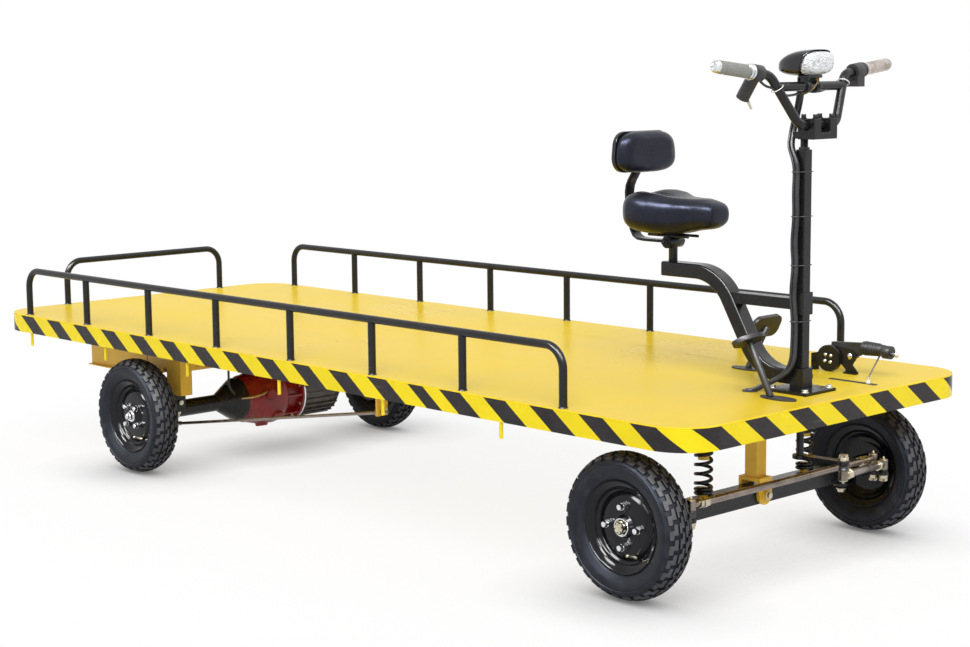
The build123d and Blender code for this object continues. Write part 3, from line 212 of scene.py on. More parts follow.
def grain_group():
    """Small cells for leather, rubber and moulded plastic, as a height."""
    if "Grain" in bpy.data.node_groups:
        return bpy.data.node_groups["Grain"]
    tree, start, end = new_group(
        "Grain",
        (("Vector", "NodeSocketVector", None), ("Scale", "NodeSocketFloat", 400.0)),
        (("Height", "NodeSocketFloat"),))
    cells = new_node(tree, "ShaderNodeTexVoronoi")
    cells.feature = "SMOOTH_F1"
    noise = new_node(tree, "ShaderNodeTexNoise", Detail=2.0)
    mix = new_node(tree, "ShaderNodeMath", "MULTIPLY_ADD")
    mix.inputs[1].default_value = 0.5
    for texture in (cells, noise):
        wire(
            tree,
            (start.outputs["Vector"], texture.inputs["Vector"]),
            (start.outputs["Scale"], texture.inputs["Scale"]))
    wire(
        tree,
        (noise.outputs["Fac"], mix.inputs[0]),
        (cells.outputs["Distance"], mix.inputs[2]),
        (mix.outputs["Value"], end.inputs["Height"]))
    return tree


class Finish:
    """One material: its Principled shader and what feeds it."""

    def __init__(self, name, roughness=0.4, metallic=0.0, coat=0.0, coat_roughness=0.05):
        self.material = bpy.data.materials.new(name)
        self.material.use_nodes = True
        self.tree = self.material.node_tree
        self.shader = self.tree.nodes["Principled BSDF"]
        self.set("Roughness", roughness)
        self.set("Metallic", metallic)
        self.set("Coat Weight", coat)
        self.set("Coat Roughness", coat_roughness)
        self.place = self.node("ShaderNodeTexCoord").outputs["Object"]

    def set(self, socket, value):
        self.shader.inputs[socket].default_value = value

    def node(self, kind, operation=None, **values):
        return new_node(self.tree, kind, operation, **values)

    def feed(self, output, socket):
        self.tree.links.new(output, socket)

    def give(self, value, socket):
        """Feeds a socket from another one, or sets its plain value."""
        if isinstance(value, bpy.types.NodeSocket):
            self.feed(value, socket)
        elif value is not None:
            socket.default_value = value

    def group(self, tree, **values):
        """Places a shared group on this material's Object coordinates."""
        made = self.tree.nodes.new("ShaderNodeGroup")
        made.node_tree = tree
        self.feed(self.place, made.inputs["Vector"])
        for label, value in values.items():
            made.inputs[label].default_value = value
        return made

    def cloud(self, dark, light, scale):
        """Two close shades in clouds."""
        return self.group(mottle_group(), Scale=scale, Dark=(*dark, 1.0), Light=(*light, 1.0))

    def mottle(self, dark, light, scale):
        """Base colour in two close shades."""
        made = self.cloud(dark, light, scale)
        self.feed(made.outputs["Color"], self.shader.inputs["Base Color"])
        return made

    def uneven(self, mask, low, high):
        """Roughness that follows a mask."""
        made = self.node("ShaderNodeMapRange", **{"To Min": low, "To Max": high})
        self.feed(mask, made.inputs["Value"])
        self.feed(made.outputs["Result"], self.shader.inputs["Roughness"])

    def bump(self, height, strength, distance=0.001):
        made = self.node("ShaderNodeBump", Strength=strength, Distance=distance)
        self.feed(height, made.inputs["Height"])
        self.feed(made.outputs["Normal"], self.shader.inputs["Normal"])

    def grained(self, scale, strength, distance):
        """Fine cells in the surface."""
        self.bump(self.group(grain_group(), Scale=scale).outputs["Height"], strength, distance)

    def mix(self, share, first, second):
        """Two colours, each a socket or a plain one, mixed by a mask."""
        made = colour_mix(self.tree)
        self.feed(share, made.inputs[MIX_SHARE])
        self.give(first, made.inputs[MIX_FIRST])
        self.give(second, made.inputs[MIX_SECOND])
        return made.outputs[MIX_COLOUR]

    def over(self, base, mask, top):
        """Base colour with another laid over it by a mask."""
        self.feed(self.mix(mask, base, (*top, 1.0)), self.shader.inputs["Base Color"])

    def math(self, operation, first, second=None, third=None):
        """One Math node on sockets or numbers."""
        made = self.node("ShaderNodeMath", operation)
        for socket, value in zip(made.inputs, (first, second, third)):
            self.give(value, socket)
        return made.outputs["Value"]


def shade(rgb, factor):
    return tuple(min(1.0, channel * factor) for channel in rgb)


def gloss_paint(name, dark, light, scale, low, high, peel=0.05, scuff=0.0, scuff_colour=None, specular=0.5):
    """Sprayed gloss paint: cloudy colour, slight orange peel and a few scuffs."""
    paint = Finish(name)
    paint.set("Specular IOR Level", specular)
    tone = paint.mottle(dark, light, scale)
    paint.uneven(tone.outputs["Mask"], low, high)
    if scuff:
        marks = paint.group(scuff_group(), Scale=9.0, Amount=scuff)
        paint.over(tone.outputs["Color"], marks.outputs["Mask"], scuff_colour)
    peel_height = paint.group(mottle_group(), Scale=260.0)
    paint.bump(peel_height.outputs["Mask"], peel, 0.0004)
    return paint.material


def deck_finish():
    c = colours()
    return gloss_paint(
        "deck_gloss", c.deck, c.deck_pale, scale=1.6, low=0.26, high=0.38, peel=0.03,
        scuff=0.05, scuff_colour=(0.80, 0.54, 0.04), specular=0.06)


SKIRT_CORNER = 0.120
STRIPE_SLANT = 1.38
DARK_SHARE = 0.485


def stripe_finish():
    """Slanting stripes that run round the skirt and its corners without a break."""
    c = colours()
    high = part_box("deck_skirt")[1]
    half_x = high.x - SKIRT_CORNER
    half_y = high.y - SKIRT_CORNER
    paint = Finish("hazard_stripes", roughness=0.3)
    paint.set("Specular IOR Level", 0.16)
    split = paint.node("ShaderNodeSeparateXYZ")
    paint.feed(paint.place, split.inputs[0])
    x, y, z = split.outputs
    reach = paint.math("ABSOLUTE", x)
    run_x = paint.math("MINIMUM", reach, half_x)
    far_side = paint.math("GREATER_THAN", y, 0.0)
    back = paint.math("SUBTRACT", 2.0 * half_x, run_x)
    gain = paint.math("SUBTRACT", back, run_x)
    run = paint.math("MULTIPLY_ADD", gain, far_side, run_x)
    run_y = paint.math("MAXIMUM", paint.math("MINIMUM", y, half_y), -half_y)
    angle = paint.math("ARCTAN2", paint.math("SUBTRACT", y, run_y), paint.math("SUBTRACT", reach, run_x))
    arc = paint.math("MULTIPLY_ADD", angle, SKIRT_CORNER, SKIRT_CORNER * math.pi / 2)
    total = paint.math("ADD", paint.math("ADD", run, arc), paint.math("ADD", run_y, half_y))
    signed = paint.math("MULTIPLY", total, paint.math("SIGN", x))
    slant = paint.math("MULTIPLY_ADD", z, STRIPE_SLANT, signed)
    past = paint.math("GREATER_THAN", slant, sizes().tape_joint)
    laid = paint.math("MULTIPLY_ADD", past, sizes().tape_lap, slant)
    pitch = sizes().stripe_pitch
    turn = paint.math("FRACT", paint.math("MULTIPLY_ADD", laid, 1.0 / pitch, sizes().stripe_start / pitch))
    dark = paint.math("LESS_THAN", turn, DARK_SHARE)
    light = paint.cloud(shade(c.stripe_light, 0.9), c.stripe_light, 5.0)
    black = paint.cloud(c.stripe_dark, shade(c.stripe_dark, 1.5), 16.0)
    stripes = paint.mix(dark, light.outputs["Color"], black.outputs["Color"])
    marks = paint.group(scuff_group(), Scale=7.0, Stretch=(1.0, 1.0, 9.0), Amount=0.12)
    paint.over(stripes, marks.outputs["Mask"], (0.36, 0.30, 0.16))
    paint.uneven(light.outputs["Mask"], 0.2, 0.32)
    return paint.material


def hook_finish():
    c = colours()
    return gloss_paint(
        "hook_yellow", shade(c.stripe_light, 0.85), c.stripe_light, scale=9.0, low=0.26, high=0.40,
        specular=0.2)


def frame_finish():
    c = colours()
    return gloss_paint(
        "frame_orange", shade(c.under_frame, 0.80), c.under_frame, scale=7.0, low=0.28, high=0.44, peel=0.10,
        scuff=0.2, scuff_colour=(0.34, 0.16, 0.02), specular=0.25)


def tube_finish():
    c = colours()
    return gloss_paint(
        "tube_black", c.tube_black, shade(c.tube_black, 1.5), scale=22.0, low=0.17, high=0.30,
        scuff=0.08, scuff_colour=(0.05, 0.042, 0.035), specular=0.30)


def rim_finish():
    c = colours()
    return gloss_paint(
        "rim_gloss", c.rim_black, shade(c.rim_black, 1.5), scale=30.0, low=0.07, high=0.16,
        scuff=0.10, scuff_colour=(0.04, 0.038, 0.036), specular=0.22)


def gearbox_finish():
    c = colours()
    return gloss_paint(
        "gearbox_red", shade(c.gearbox, 0.6), c.gearbox, scale=26.0, low=0.16, high=0.42, peel=0.30,
        scuff=0.3, scuff_colour=(0.09, 0.02, 0.015))


def motor_finish():
    metal = Finish("motor_case", roughness=0.45, metallic=0.4)
    tone = metal.mottle((0.055, 0.050, 0.047), (0.13, 0.115, 0.105), 40.0)
    metal.uneven(tone.outputs["Mask"], 0.34, 0.55)
    metal.bump(tone.outputs["Mask"], 0.15)
    return metal.material


def metal_finish(name, dark, light, low, high, scale=60.0):
    """Bare or plated metal with uneven tone."""
    metal = Finish(name, metallic=1.0)
    tone = metal.mottle(dark, light, scale)
    metal.uneven(tone.outputs["Mask"], low, high)
    marks = metal.group(scuff_group(), Scale=50.0, Stretch=(1.0, 1.0, 1.0), Amount=0.5)
    metal.bump(marks.outputs["Mask"], 0.05, 0.0005)
    return metal.material


def tyre_finish():
    """Rubber whose reflections are tinted blue, a painted bluish light, with dust in streaks."""
    c = colours()
    rubber = Finish("tyre_rubber", roughness=0.62)
    rubber.set("Specular IOR Level", 0.19)
    # Painted bluish light: the tyre's reflections are tinted blue.
    rubber.set("Specular Tint", (0.70, 0.78, 1.0, 1.0))
    tone = rubber.mottle(c.tyre, shade(c.tyre, 1.9), 24.0)
    dust = rubber.group(scuff_group(), Scale=16.0, Stretch=(1.0, 3.0, 1.0), Amount=0.35)
    rubber.over(tone.outputs["Color"], dust.outputs["Mask"], (0.060, 0.060, 0.062))
    rubber.uneven(tone.outputs["Mask"], 0.38, 0.58)
    rubber.grained(520.0, 0.25, 0.0005)
    return rubber.material


def cover_finish():
    """Black faux leather with a fine grain; its reflections are tinted blue, a painted bluish light."""
    c = colours()
    cover = Finish("seat_cover", roughness=0.42)
    cover.set("Specular IOR Level", 0.30)
    # Painted bluish light: the cover's reflections are tinted blue.
    cover.set("Specular Tint", (0.58, 0.64, 1.0, 1.0))
    tone = cover.mottle(c.cover, shade(c.cover, 1.45), 12.0)
    cover.uneven(tone.outputs["Mask"], 0.25, 0.35)
    cover.grained(620.0, 0.22, 0.0006)
    return cover.material


def plastic_finish(name, dark, light, low, high, grain=380.0, strength=0.15):
    """Moulded plastic or rubber with a fine grain."""
    plastic = Finish(name)
    tone = plastic.mottle(dark, light, 18.0)
    plastic.uneven(tone.outputs["Mask"], low, high)
    plastic.grained(grain, strength, 0.0004)
    return plastic.material


def lens_finish():
    """Clear cover over a bright reflector pressed in small facets, with painted shade along the facets'
    edges.
    """
    glass = Finish("lamp_reflector", roughness=0.12, metallic=0.35, coat=1.0, coat_roughness=0.02)
    cells = glass.node("ShaderNodeTexVoronoi", Scale=115.0)
    cells.feature = "DISTANCE_TO_EDGE"
    stretch = glass.node("ShaderNodeVectorMath", "MULTIPLY")
    stretch.inputs[1].default_value = (0.3, 0.75, 1.35)
    glass.feed(glass.place, stretch.inputs[0])
    glass.feed(stretch.outputs["Vector"], cells.inputs["Vector"])
    # The facets' edges are painted darker: painted shade in the grooves between the facets.
    rim = glass.node("ShaderNodeMapRange", **{"From Max": 0.14, "To Min": 0.0, "To Max": 1.0})
    glass.feed(cells.outputs["Distance"], rim.inputs["Value"])
    tone = glass.mix(rim.outputs["Result"], (0.42, 0.43, 0.44, 1.0), (0.74, 0.76, 0.77, 1.0))
    glass.feed(tone, glass.shader.inputs["Base Color"])
    glass.uneven(rim.outputs["Result"], 0.30, 0.10)
    glass.bump(cells.outputs["Distance"], 0.8, 0.004)
    return glass.material


MATERIALS = {}


def material(name):
    return MATERIALS[name]


METALS = {
    # finish: material, dark, light, least and most roughness, scale of the clouds
    "bare_steel": ("drawn_steel", (0.20, 0.16, 0.135), (0.30, 0.255, 0.22), 0.24, 0.36, 26.0),
    "zinc": ("yellow_zinc", (0.46, 0.41, 0.29), (0.66, 0.61, 0.48), 0.24, 0.38),
    "chrome": ("bright_plate", (0.62, 0.63, 0.64), (0.80, 0.81, 0.82), 0.06, 0.16, 90.0),
    "brass": ("worn_brass", (0.34, 0.22, 0.09), (0.62, 0.45, 0.20), 0.25, 0.42),
}
PLASTICS = {
    # finish: material, dark, light, least and most roughness, scale and strength of the grain
    "nylon": ("white_nylon", (0.70, 0.70, 0.67), (0.84, 0.84, 0.81), 0.35, 0.5),
    "shell_plastic": ("gloss_black", (0.006, 0.006, 0.010), (0.012, 0.012, 0.018), 0.06, 0.14, 300.0, 0.02),
    "black_plastic": ("moulded_black", (0.010, 0.010, 0.011), (0.020, 0.020, 0.022), 0.36, 0.52),
    "battery_case": ("battery_black", (0.02, 0.02, 0.022), (0.05, 0.05, 0.055), 0.4, 0.55),
    "cable_jacket": ("cable_black", (0.010, 0.010, 0.012), (0.022, 0.022, 0.026), 0.30, 0.45),
    "boot_rubber": ("boot_black", (0.010, 0.010, 0.012), (0.022, 0.023, 0.027), 0.30, 0.45),
    "wire_yellow": ("wire_yellow", (0.55, 0.27, 0.02), (0.72, 0.40, 0.04), 0.3, 0.45),
    "wire_green": ("wire_green", (0.03, 0.10, 0.02), (0.06, 0.17, 0.04), 0.3, 0.45),
    "wire_brown": ("wire_brown", (0.10, 0.025, 0.01), (0.17, 0.05, 0.02), 0.3, 0.45),
    "wrapped_grip": ("wrapped_grip", (0.20, 0.16, 0.13), (0.62, 0.57, 0.52), 0.10, 0.30, 160.0, 0.5),
}


def make_materials():
    c = colours()
    MATERIALS.update({
        "deck_paint": deck_finish(),
        "hazard_paint": stripe_finish(),
        "hook_paint": hook_finish(),
        "frame_paint": frame_finish(),
        "black_paint": tube_finish(),
        "rim_paint": rim_finish(),
        "red_paint": gearbox_finish(),
        "motor_case": motor_finish(),
        "tyre_rubber": tyre_finish(),
        "worn_rubber": plastic_finish(
            "worn_rubber", shade(c.tyre, 1.1), shade(c.tyre, 4.5), 0.55, 0.75, 260.0, 0.5),
        "seat_leather": cover_finish(),
        "grip_rubber": plastic_finish("grip_grey", shade(c.grip, 0.75), c.grip, 0.36, 0.52, 420.0, 0.3),
        "lens_clear": lens_finish(),
    })
    MATERIALS.update({finish: metal_finish(*row) for finish, row in METALS.items()})
    MATERIALS.update({finish: plastic_finish(*row) for finish, row in PLASTICS.items()})


# Mesh helpers

def facing(axis, centre):
    """Matrix that stands a shape made along Z on an axis."""
    turn = Vector(axis).to_track_quat("Z", "Y").to_matrix().to_4x4()
    return Matrix.Translation(Vector(centre)) @ turn


def lathe(bm, profile, centre, axis, steps):
    """Turns (along, radius) pairs about an axis through centre."""
    centre, axis = Vector(centre), Vector(axis).normalized()
    out = axis.orthogonal().normalized()
    verts = [bm.verts.new(centre + axis * along + out * radius) for along, radius in profile]
    edges = [bm.edges.new(pair) for pair in zip(verts, verts[1:])]
    bmesh.ops.spin(bm, geom=verts + edges, cent=centre, axis=axis, angle=math.tau, steps=steps,
                   use_merge=True)
    bmesh.ops.remove_doubles(bm, verts=bm.verts[:], dist=1e-6)


def stud(bm, spot, axis, ends, radius, tip, steps=24):
    """Round washer or stud that starts, shoulders and ends along an axis, with its radius and its tip's."""
    start, shoulder, end = ends
    lathe(bm, ((start, 0.0), (start, radius), (shoulder, radius), (end, tip), (end, 0.0)), spot, axis, steps)


def ease(bm, verts, offset):
    """Bevels all edges of a shape just made."""
    edges = dict.fromkeys(edge for vert in verts for edge in vert.link_edges)
    bmesh.ops.bevel(bm, geom=list(edges), offset=offset, offset_type="OFFSET", affect="EDGES", segments=2,
                    profile=0.5, material=-1)


def hexagon(bm, centre, axis, radius, height):
    """Six-sided nut or bolt head that stands on centre."""
    axis = Vector(axis).normalized()
    midway = Vector(centre) + axis * height / 2
    made = bmesh.ops.create_cone(bm, cap_ends=True, segments=6, radius1=radius, radius2=radius, depth=height,
                                 matrix=facing(axis, midway))
    ease(bm, made["verts"], 0.0008)


def bolt_head(bm, spot, axis, washer, radius, height, steps=24):
    """Hexagon on a washer, whose shoulder, thickness, radius and eased radius are given."""
    shoulder, thickness, wide, tip = washer
    stud(bm, spot, axis, (0.0, shoulder, thickness), wide, tip, steps)
    hexagon(bm, spot + axis * thickness, axis, radius, height)


def box(bm, low, high, chamfer):
    """A block with eased edges."""
    size = Matrix.Diagonal((*(high - low), 1.0))
    made = bmesh.ops.create_cube(bm, size=1.0, matrix=Matrix.Translation((low + high) / 2) @ size)
    ease(bm, made["verts"], chamfer)


def place_object(name, data):
    """A new object in the scene."""
    piece = bpy.data.objects.new(name, data)
    bpy.context.scene.collection.objects.link(piece)
    return piece


def add_object(name, mesh, finish, body, sharp=38.0):
    """Makes a mesh a piece with its finish, which rides on a body."""
    mesh.shade_smooth()
    mesh.set_sharp_from_angle(angle=math.radians(sharp))
    mesh.materials.clear()
    mesh.materials.append(material(finish))
    piece = place_object(name, mesh)
    if body:
        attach(piece, body)
    return piece


def to_object(name, bm, finish, body, sharp=38.0):
    """Makes a piece from a bmesh, closed and facing outwards."""
    bmesh.ops.remove_doubles(bm, verts=bm.verts[:], dist=1e-6)
    bmesh.ops.recalc_face_normals(bm, faces=bm.faces[:])
    mesh = bpy.data.meshes.new(name)
    bm.to_mesh(mesh)
    bm.free()
    return add_object(name, mesh, finish, body, sharp)


def turned(name, profile, centre, axis, steps, finish, body):
    """One piece turned about an axis."""
    bm = bmesh.new()
    lathe(bm, profile, centre, axis, steps)
    return to_object(name, bm, finish, body)


def subdivided(piece):
    """One level of subdivision on a cushion or a moulding."""
    smooth = piece.modifiers.new("Smooth", "SUBSURF")
    smooth.levels = 1
    smooth.render_levels = 1


def evaluated_mesh(piece, name):
    """The mesh of an object with its modifiers or bevel applied."""
    bpy.context.view_layer.update()
    graph = bpy.context.evaluated_depsgraph_get()
    mesh = bpy.data.meshes.new_from_object(piece.evaluated_get(graph))
    mesh.name = name
    return mesh


def spline(name, lines, radius, closed, fine):
    """Smooth round cables, each through its own control points."""
    curve = bpy.data.curves.new(name, "CURVE")
    curve.dimensions = "3D"
    curve.bevel_depth = radius
    curve.bevel_resolution = 5
    curve.resolution_u = fine
    curve.use_fill_caps = True
    for points in lines:
        line = curve.splines.new("NURBS")
        line.points.add(len(points) - 1)
        for point, place in zip(line.points, points):
            point.co = (*place, 1.0)
        line.order_u = 3
        line.use_endpoint_u = not closed
        line.use_cyclic_u = closed
    return place_object(name, curve)


def cables(name, lines, radius, finish, body, closed=False, fine=10):
    """Fixed cables or bent rods as one mesh; with no body, the mesh is left free."""
    line = spline(f"{name}_line", lines, radius, closed, fine)
    mesh = evaluated_mesh(line, name)
    bpy.data.objects.remove(line)
    return add_object(name, mesh, finish, body, 60.0)


def middle(node):
    """Middle of a solid's box."""
    low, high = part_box(node)
    return (low + high) / 2


def spoke(degrees):
    """Way out at an angle from an axle that lies across the cart."""
    angle = math.radians(degrees)
    return Vector((math.cos(angle), 0.0, math.sin(angle)))


# Wheels

WHEELS = (
    # name, side, steered
    ("front_right", -1, True),
    ("front_left", 1, True),
    ("rear_right", -1, False),
    ("rear_left", 1, False),
)
HANDS = (
    # name, side
    ("right", -1), ("left", 1),
)
SIDEWALL = (
    # across, radius
    (0.0182, 0.1034), (0.0224, 0.1112), (0.0276, 0.1190), (0.0286, 0.1206), (0.0310, 0.1220),
    (0.0338, 0.1256), (0.0346, 0.1254), (0.0362, 0.1286), (0.0410, 0.1365), (0.0444, 0.1450),
    (0.0456, 0.1530), (0.0454, 0.1582), (0.0447, 0.1592), (0.0464, 0.1612), (0.0462, 0.1632),
    (0.0440, 0.1648), (0.0428, 0.1672), (0.0402, 0.1712), (0.0300, 0.1772), (0.0180, 0.1819),
    (0.0060, 0.1842),
)
SHOULDER_LUG = (
    # share of the pitch, across
    (0.00, 0.0418), (0.62, 0.0418), (0.62, 0.0312), (1.02, 0.0300), (1.02, 0.0216), (0.32, 0.0216),
    (0.32, 0.0320), (0.00, 0.0332),
)
CENTRE_LUG = (
    (0.00, 0.0164), (0.66, 0.0164), (0.66, 0.0098), (1.02, 0.0090), (1.02, 0.0026), (0.32, 0.0026),
    (0.32, 0.0106), (0.00, 0.0116),
)
PITCHES = 30
FLANGE = (
    # across, radius, from the well out to the bead seat
    (0.0062, 0.0884), (0.0092, 0.0904), (0.0108, 0.0940), (0.0128, 0.0966), (0.0160, 0.0980),
    (0.0198, 0.0998), (0.0232, 0.1038), (0.0262, 0.1090), (0.0284, 0.1138), (0.0300, 0.1166),
    (0.0317, 0.1176), (0.0320, 0.1189), (0.0306, 0.1197), (0.0290, 0.1195), (0.0278, 0.1184),
    (0.0226, 0.1106), (0.0184, 0.1030), (0.0100, 0.1012), (0.0060, 0.0922),
)
DISC = (
    # across, radius, from the hub's face out to the well
    (0.0112, 0.0420), (0.0112, 0.0700), (0.0106, 0.0742), (0.0085, 0.0782), (0.0045, 0.0830),
    (0.0016, 0.0864),
)
STEERED_HUB = (
    # across, radius, from the disc's back round the hub to its face
    (0.0060, 0.0622), (0.0002, 0.0620), (0.0000, 0.0312), (-0.0450, 0.0300), (-0.0460, 0.0285),
    (-0.0460, 0.0103), (0.0240, 0.0103), (0.0240, 0.0232), (0.0230, 0.0246), (0.0130, 0.0290),
    (0.0113, 0.0312),
)
DRIVEN_HUB = (
    (0.0060, 0.0700), (-0.0015, 0.0755), (-0.0380, 0.0758), (-0.0398, 0.0745), (-0.0400, 0.0128),
    (-0.0400, 0.0), (0.0240, 0.0), (0.0240, 0.0240), (0.0228, 0.0262), (0.0135, 0.0385),
    (0.0113, 0.0410),
)
DISC_BACK = (
    # across, radius, behind the disc
    (-0.0044, 0.0866), (0.0000, 0.0822), (0.0040, 0.0772), (0.0060, 0.0725),
)
VALVE = (
    # along, radius
    (0.0, 0.0), (0.0, 0.0055), (0.006, 0.005), (0.008, 0.0036), (0.022, 0.0036), (0.022, 0.0044),
    (0.030, 0.0044), (0.031, 0.0036), (0.031, 0.0),
)
VALVE_WAY = Vector((0.45, 0.0, -0.89)).normalized()
VALVE_CIRCLE, VALVE_OUT = 0.083, 0.012
NUT_CIRCLE = {
    # steered: radius of the nuts' circle, degrees of the first nut
    True: (0.0525, 0), False: (0.041, 45),
}
WHEEL_NUTS = 4
HUB_RING = (
    (0.0, 0.0165), (0.0, 0.0236), (0.0022, 0.0240), (0.0036, 0.0232), (0.0036, 0.0205), (0.0016, 0.0195),
    (0.0, 0.0165),
)
TREAD_DROP, TREAD_HALF = 0.013, 0.040
CENTRE_LUG_SHIFT = 0.40
DISC_FACE, HUB_END, STUB_END = 0.0112, 0.0242, 0.0250
WASHER = 0.0022
SHAFT_START, SHAFT_RADIUS = -0.0395, 0.0124


def tread_radius(across, radius):
    """Radius of the crowned tread at a distance from its middle line."""
    return radius - TREAD_DROP * (across / TREAD_HALF) ** 2


def lug(bm, outline, side, shift, centre, radius, height):
    """One tread block, drawn flat, raised, eased and bent round the tyre."""
    pitch = math.tau / PITCHES
    corners = [bm.verts.new((side * (share + shift) * pitch, side * across, 0.0))
               for share, across in outline]
    face = bm.faces.new(corners)
    raised = bmesh.ops.extrude_face_region(bm, geom=[face])["geom"]
    top = [item for item in raised if isinstance(item, bmesh.types.BMVert)]
    bmesh.ops.translate(bm, verts=top, vec=(0.0, 0.0, height))
    rim = [edge for edge in raised if isinstance(edge, bmesh.types.BMEdge)]
    eased = bmesh.ops.bevel(bm, geom=rim, offset=0.0006, offset_type="OFFSET", affect="EDGES", segments=1,
                            profile=0.5, material=-1)
    verts = set(corners) | set(eased["verts"]) | {vert for vert in top if vert.is_valid}
    for vert in verts:
        angle, across, rise = vert.co
        reach = tread_radius(across, radius) - height + rise
        vert.co = centre + Vector((reach * math.sin(angle), across, reach * math.cos(angle)))


def make_tyre(name):
    """Tyre with two rows of stepped tread blocks on each side of its middle line."""
    low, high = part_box(f"tyre_{name}")
    centre = (low + high) / 2
    radius = (high.z - low.z) / 2
    height = sizes().lug_height
    bm = bmesh.new()
    profile = list(SIDEWALL) + [(-across, reach) for across, reach in reversed(SIDEWALL)] + [SIDEWALL[0]]
    lathe(bm, profile, centre, Y, 96)
    carcass = set(bm.verts)
    for side in (-1, 1):
        shift = 0.0 if side > 0 else 0.5
        lug(bm, SHOULDER_LUG, side, shift, centre, radius, height)
        lug(bm, CENTRE_LUG, side, shift + CENTRE_LUG_SHIFT, centre, radius, height)
    blocks = [item for kind in (bm.verts, bm.edges, bm.faces) for item in kind
              if not (set(item.verts) if hasattr(item, "verts") else {item}) & carcass]
    copies = PITCHES - 1
    bmesh.ops.spin(bm, geom=blocks, cent=centre, axis=Y, angle=math.tau * copies / PITCHES, steps=copies,
                   use_duplicate=True)
    tyre = to_object(f"tread_{name}", bm, "tyre_rubber", f"wheel_{name}", 34.0)
    tyre.data.materials.append(material("worn_rubber"))
    for face in tyre.data.polygons:
        reach = face.center - centre
        if math.hypot(reach.x, reach.z) > tread_radius(reach.y, radius) - height / 2:
            face.material_index = 1
    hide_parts(f"tyre_{name}")


def make_rim(name, side, steered):
    """Pressed rim with rolled flanges, a drop centre and a dished disc on its hub."""
    centre = middle(f"tyre_{name}")
    out = Y * side
    hub = STEERED_HUB if steered else DRIVEN_HUB
    inside = [(-across, radius) for across, radius in reversed(FLANGE)]
    profile = list(DISC) + list(FLANGE) + inside + list(DISC_BACK) + list(hub) + [DISC[0]]
    bm = bmesh.new()
    lathe(bm, profile, centre, out, 80)
    if not steered:
        low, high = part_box(f"rim_{name}")
        inner = -(low if side > 0 else high).y * side + centre.y * side
        shaft = ((SHAFT_START, 0.0), (SHAFT_START, SHAFT_RADIUS), (-inner, SHAFT_RADIUS), (-inner, 0.0))
        lathe(bm, shaft, centre, out, 32)
    piece = to_object(f"rim_pressing_{name}", bm, "rim_paint", f"wheel_{name}", 40.0)
    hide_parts(f"rim_{name}")


def wheel_hardware(name, side, steered):
    """Wheel nuts with their washers, valve, and hub ring or axle nut."""
    centre = middle(f"tyre_{name}")
    body = f"wheel_{name}"
    out = Y * side
    face = centre + out * DISC_FACE
    circle, start = NUT_CIRCLE[steered]
    nuts = bmesh.new()
    washers = bmesh.new()
    reach = sizes().wheel_nut
    cap = reach * 0.82
    dome = ((0.013, cap), (0.021, cap), (0.0246, cap * 0.82), (0.0262, cap * 0.4), (0.0265, 0.0))
    for index in range(WHEEL_NUTS):
        spot = face + spoke(start + index * 360 / WHEEL_NUTS) * circle
        stud(washers, spot, out, (0.0, 0.0016, WASHER), 0.0135, 0.0128)
        hexagon(nuts, spot + out * WASHER, out, reach, 0.012)
        lathe(nuts, dome, spot, out, 24)
    to_object(f"nuts_{name}", nuts, "chrome", body)
    to_object(f"washers_{name}", washers, "black_paint", body)
    seat = centre + VALVE_WAY * VALVE_CIRCLE + out * VALVE_OUT
    lean = (out * 0.9 - VALVE_WAY * 0.35).normalized()
    turned(f"valve_{name}", VALVE, seat, lean, 20, "zinc", body)
    end = centre + out * HUB_END
    if steered:
        turned(f"hub_ring_{name}", HUB_RING, end, out, 40, "chrome", body)
        return
    nut = bmesh.new()
    stud(nut, end, out, (0.0, 0.002, 0.0025), 0.019, 0.018, 32)
    hexagon(nut, end + out * 0.0024, out, 0.0150, 0.010)
    stud(nut, end, out, (0.0124, 0.020, 0.0208), 0.0085, 0.0077)
    to_object(f"axle_nut_{name}", nut, "chrome", body)


def castle_nut(name, base, axis, radius, height, body):
    """Slotted nut on the end of its threaded pin."""
    bm = bmesh.new()
    hexagon(bm, base, axis, radius, height * 0.62)
    out = axis.orthogonal().normalized()
    size = Matrix.Diagonal((radius * 0.40, radius * 0.52, height * 0.40, 1.0))
    for index in range(6):
        way = Matrix.Rotation(index * math.tau / 6, 3, axis) @ out
        turn = Matrix((way, axis.cross(way), axis)).transposed().to_4x4()
        turn.translation = base + axis * height * 0.81 + way * radius * 0.62
        bmesh.ops.create_cube(bm, size=1.0, matrix=turn @ size)
    stud(bm, base, axis, (height * 0.6, height * 1.02, height * 1.05), radius * 0.5, radius * 0.42)
    to_object(name, bm, "zinc", body)


class CART_OT_wheels(bpy.types.Operator):
    """Treaded tyres, rims, wheel nuts, hub rings and valves"""
    bl_idname = "cart.wheels"
    bl_label = "Wheels"

    def execute(self, context):
        for name, side, steered in WHEELS:
            make_tyre(name)
            make_rim(name, side, steered)
            wheel_hardware(name, side, steered)
        for hand, side in HANDS:
            end = middle(f"tyre_front_{hand}") + Y * side * STUB_END
            castle_nut(f"stub_nut_{hand}", end, Y * side, 0.0168, 0.0125, f"knuckle_{hand}")
        return {"FINISHED"}


# Paint on the solids

EASED = {
    # node: bevel width
    "deck_plate": 0.0018, "frame_beams": 0.002, "rear_hangers": 0.0015, "axle_saddles": 0.0015,
    "battery_cradle": 0.0012, "battery_pack": 0.004, "front_beam_axle": 0.003, "beam_hanger": 0.002,
    "column_base": 0.0012, "steering_column": 0.0024, "seat_brace": 0.0022, "seat_post": 0.0012,
    "backrest_stay": 0.0016, "backrest_shell": 0.003, "bar_clamp": 0.0022, "steering_shaft": 0.001,
    "handbrake_bracket": 0.0008, "handbrake_lever": 0.002, "knuckle_right": 0.0015, "knuckle_left": 0.0015,
    "pedals": 0.002, "pedal_plates": 0.001, "switch_pods": 0.006, "gearbox": 0.003, "drive_motor": 0.001,
}


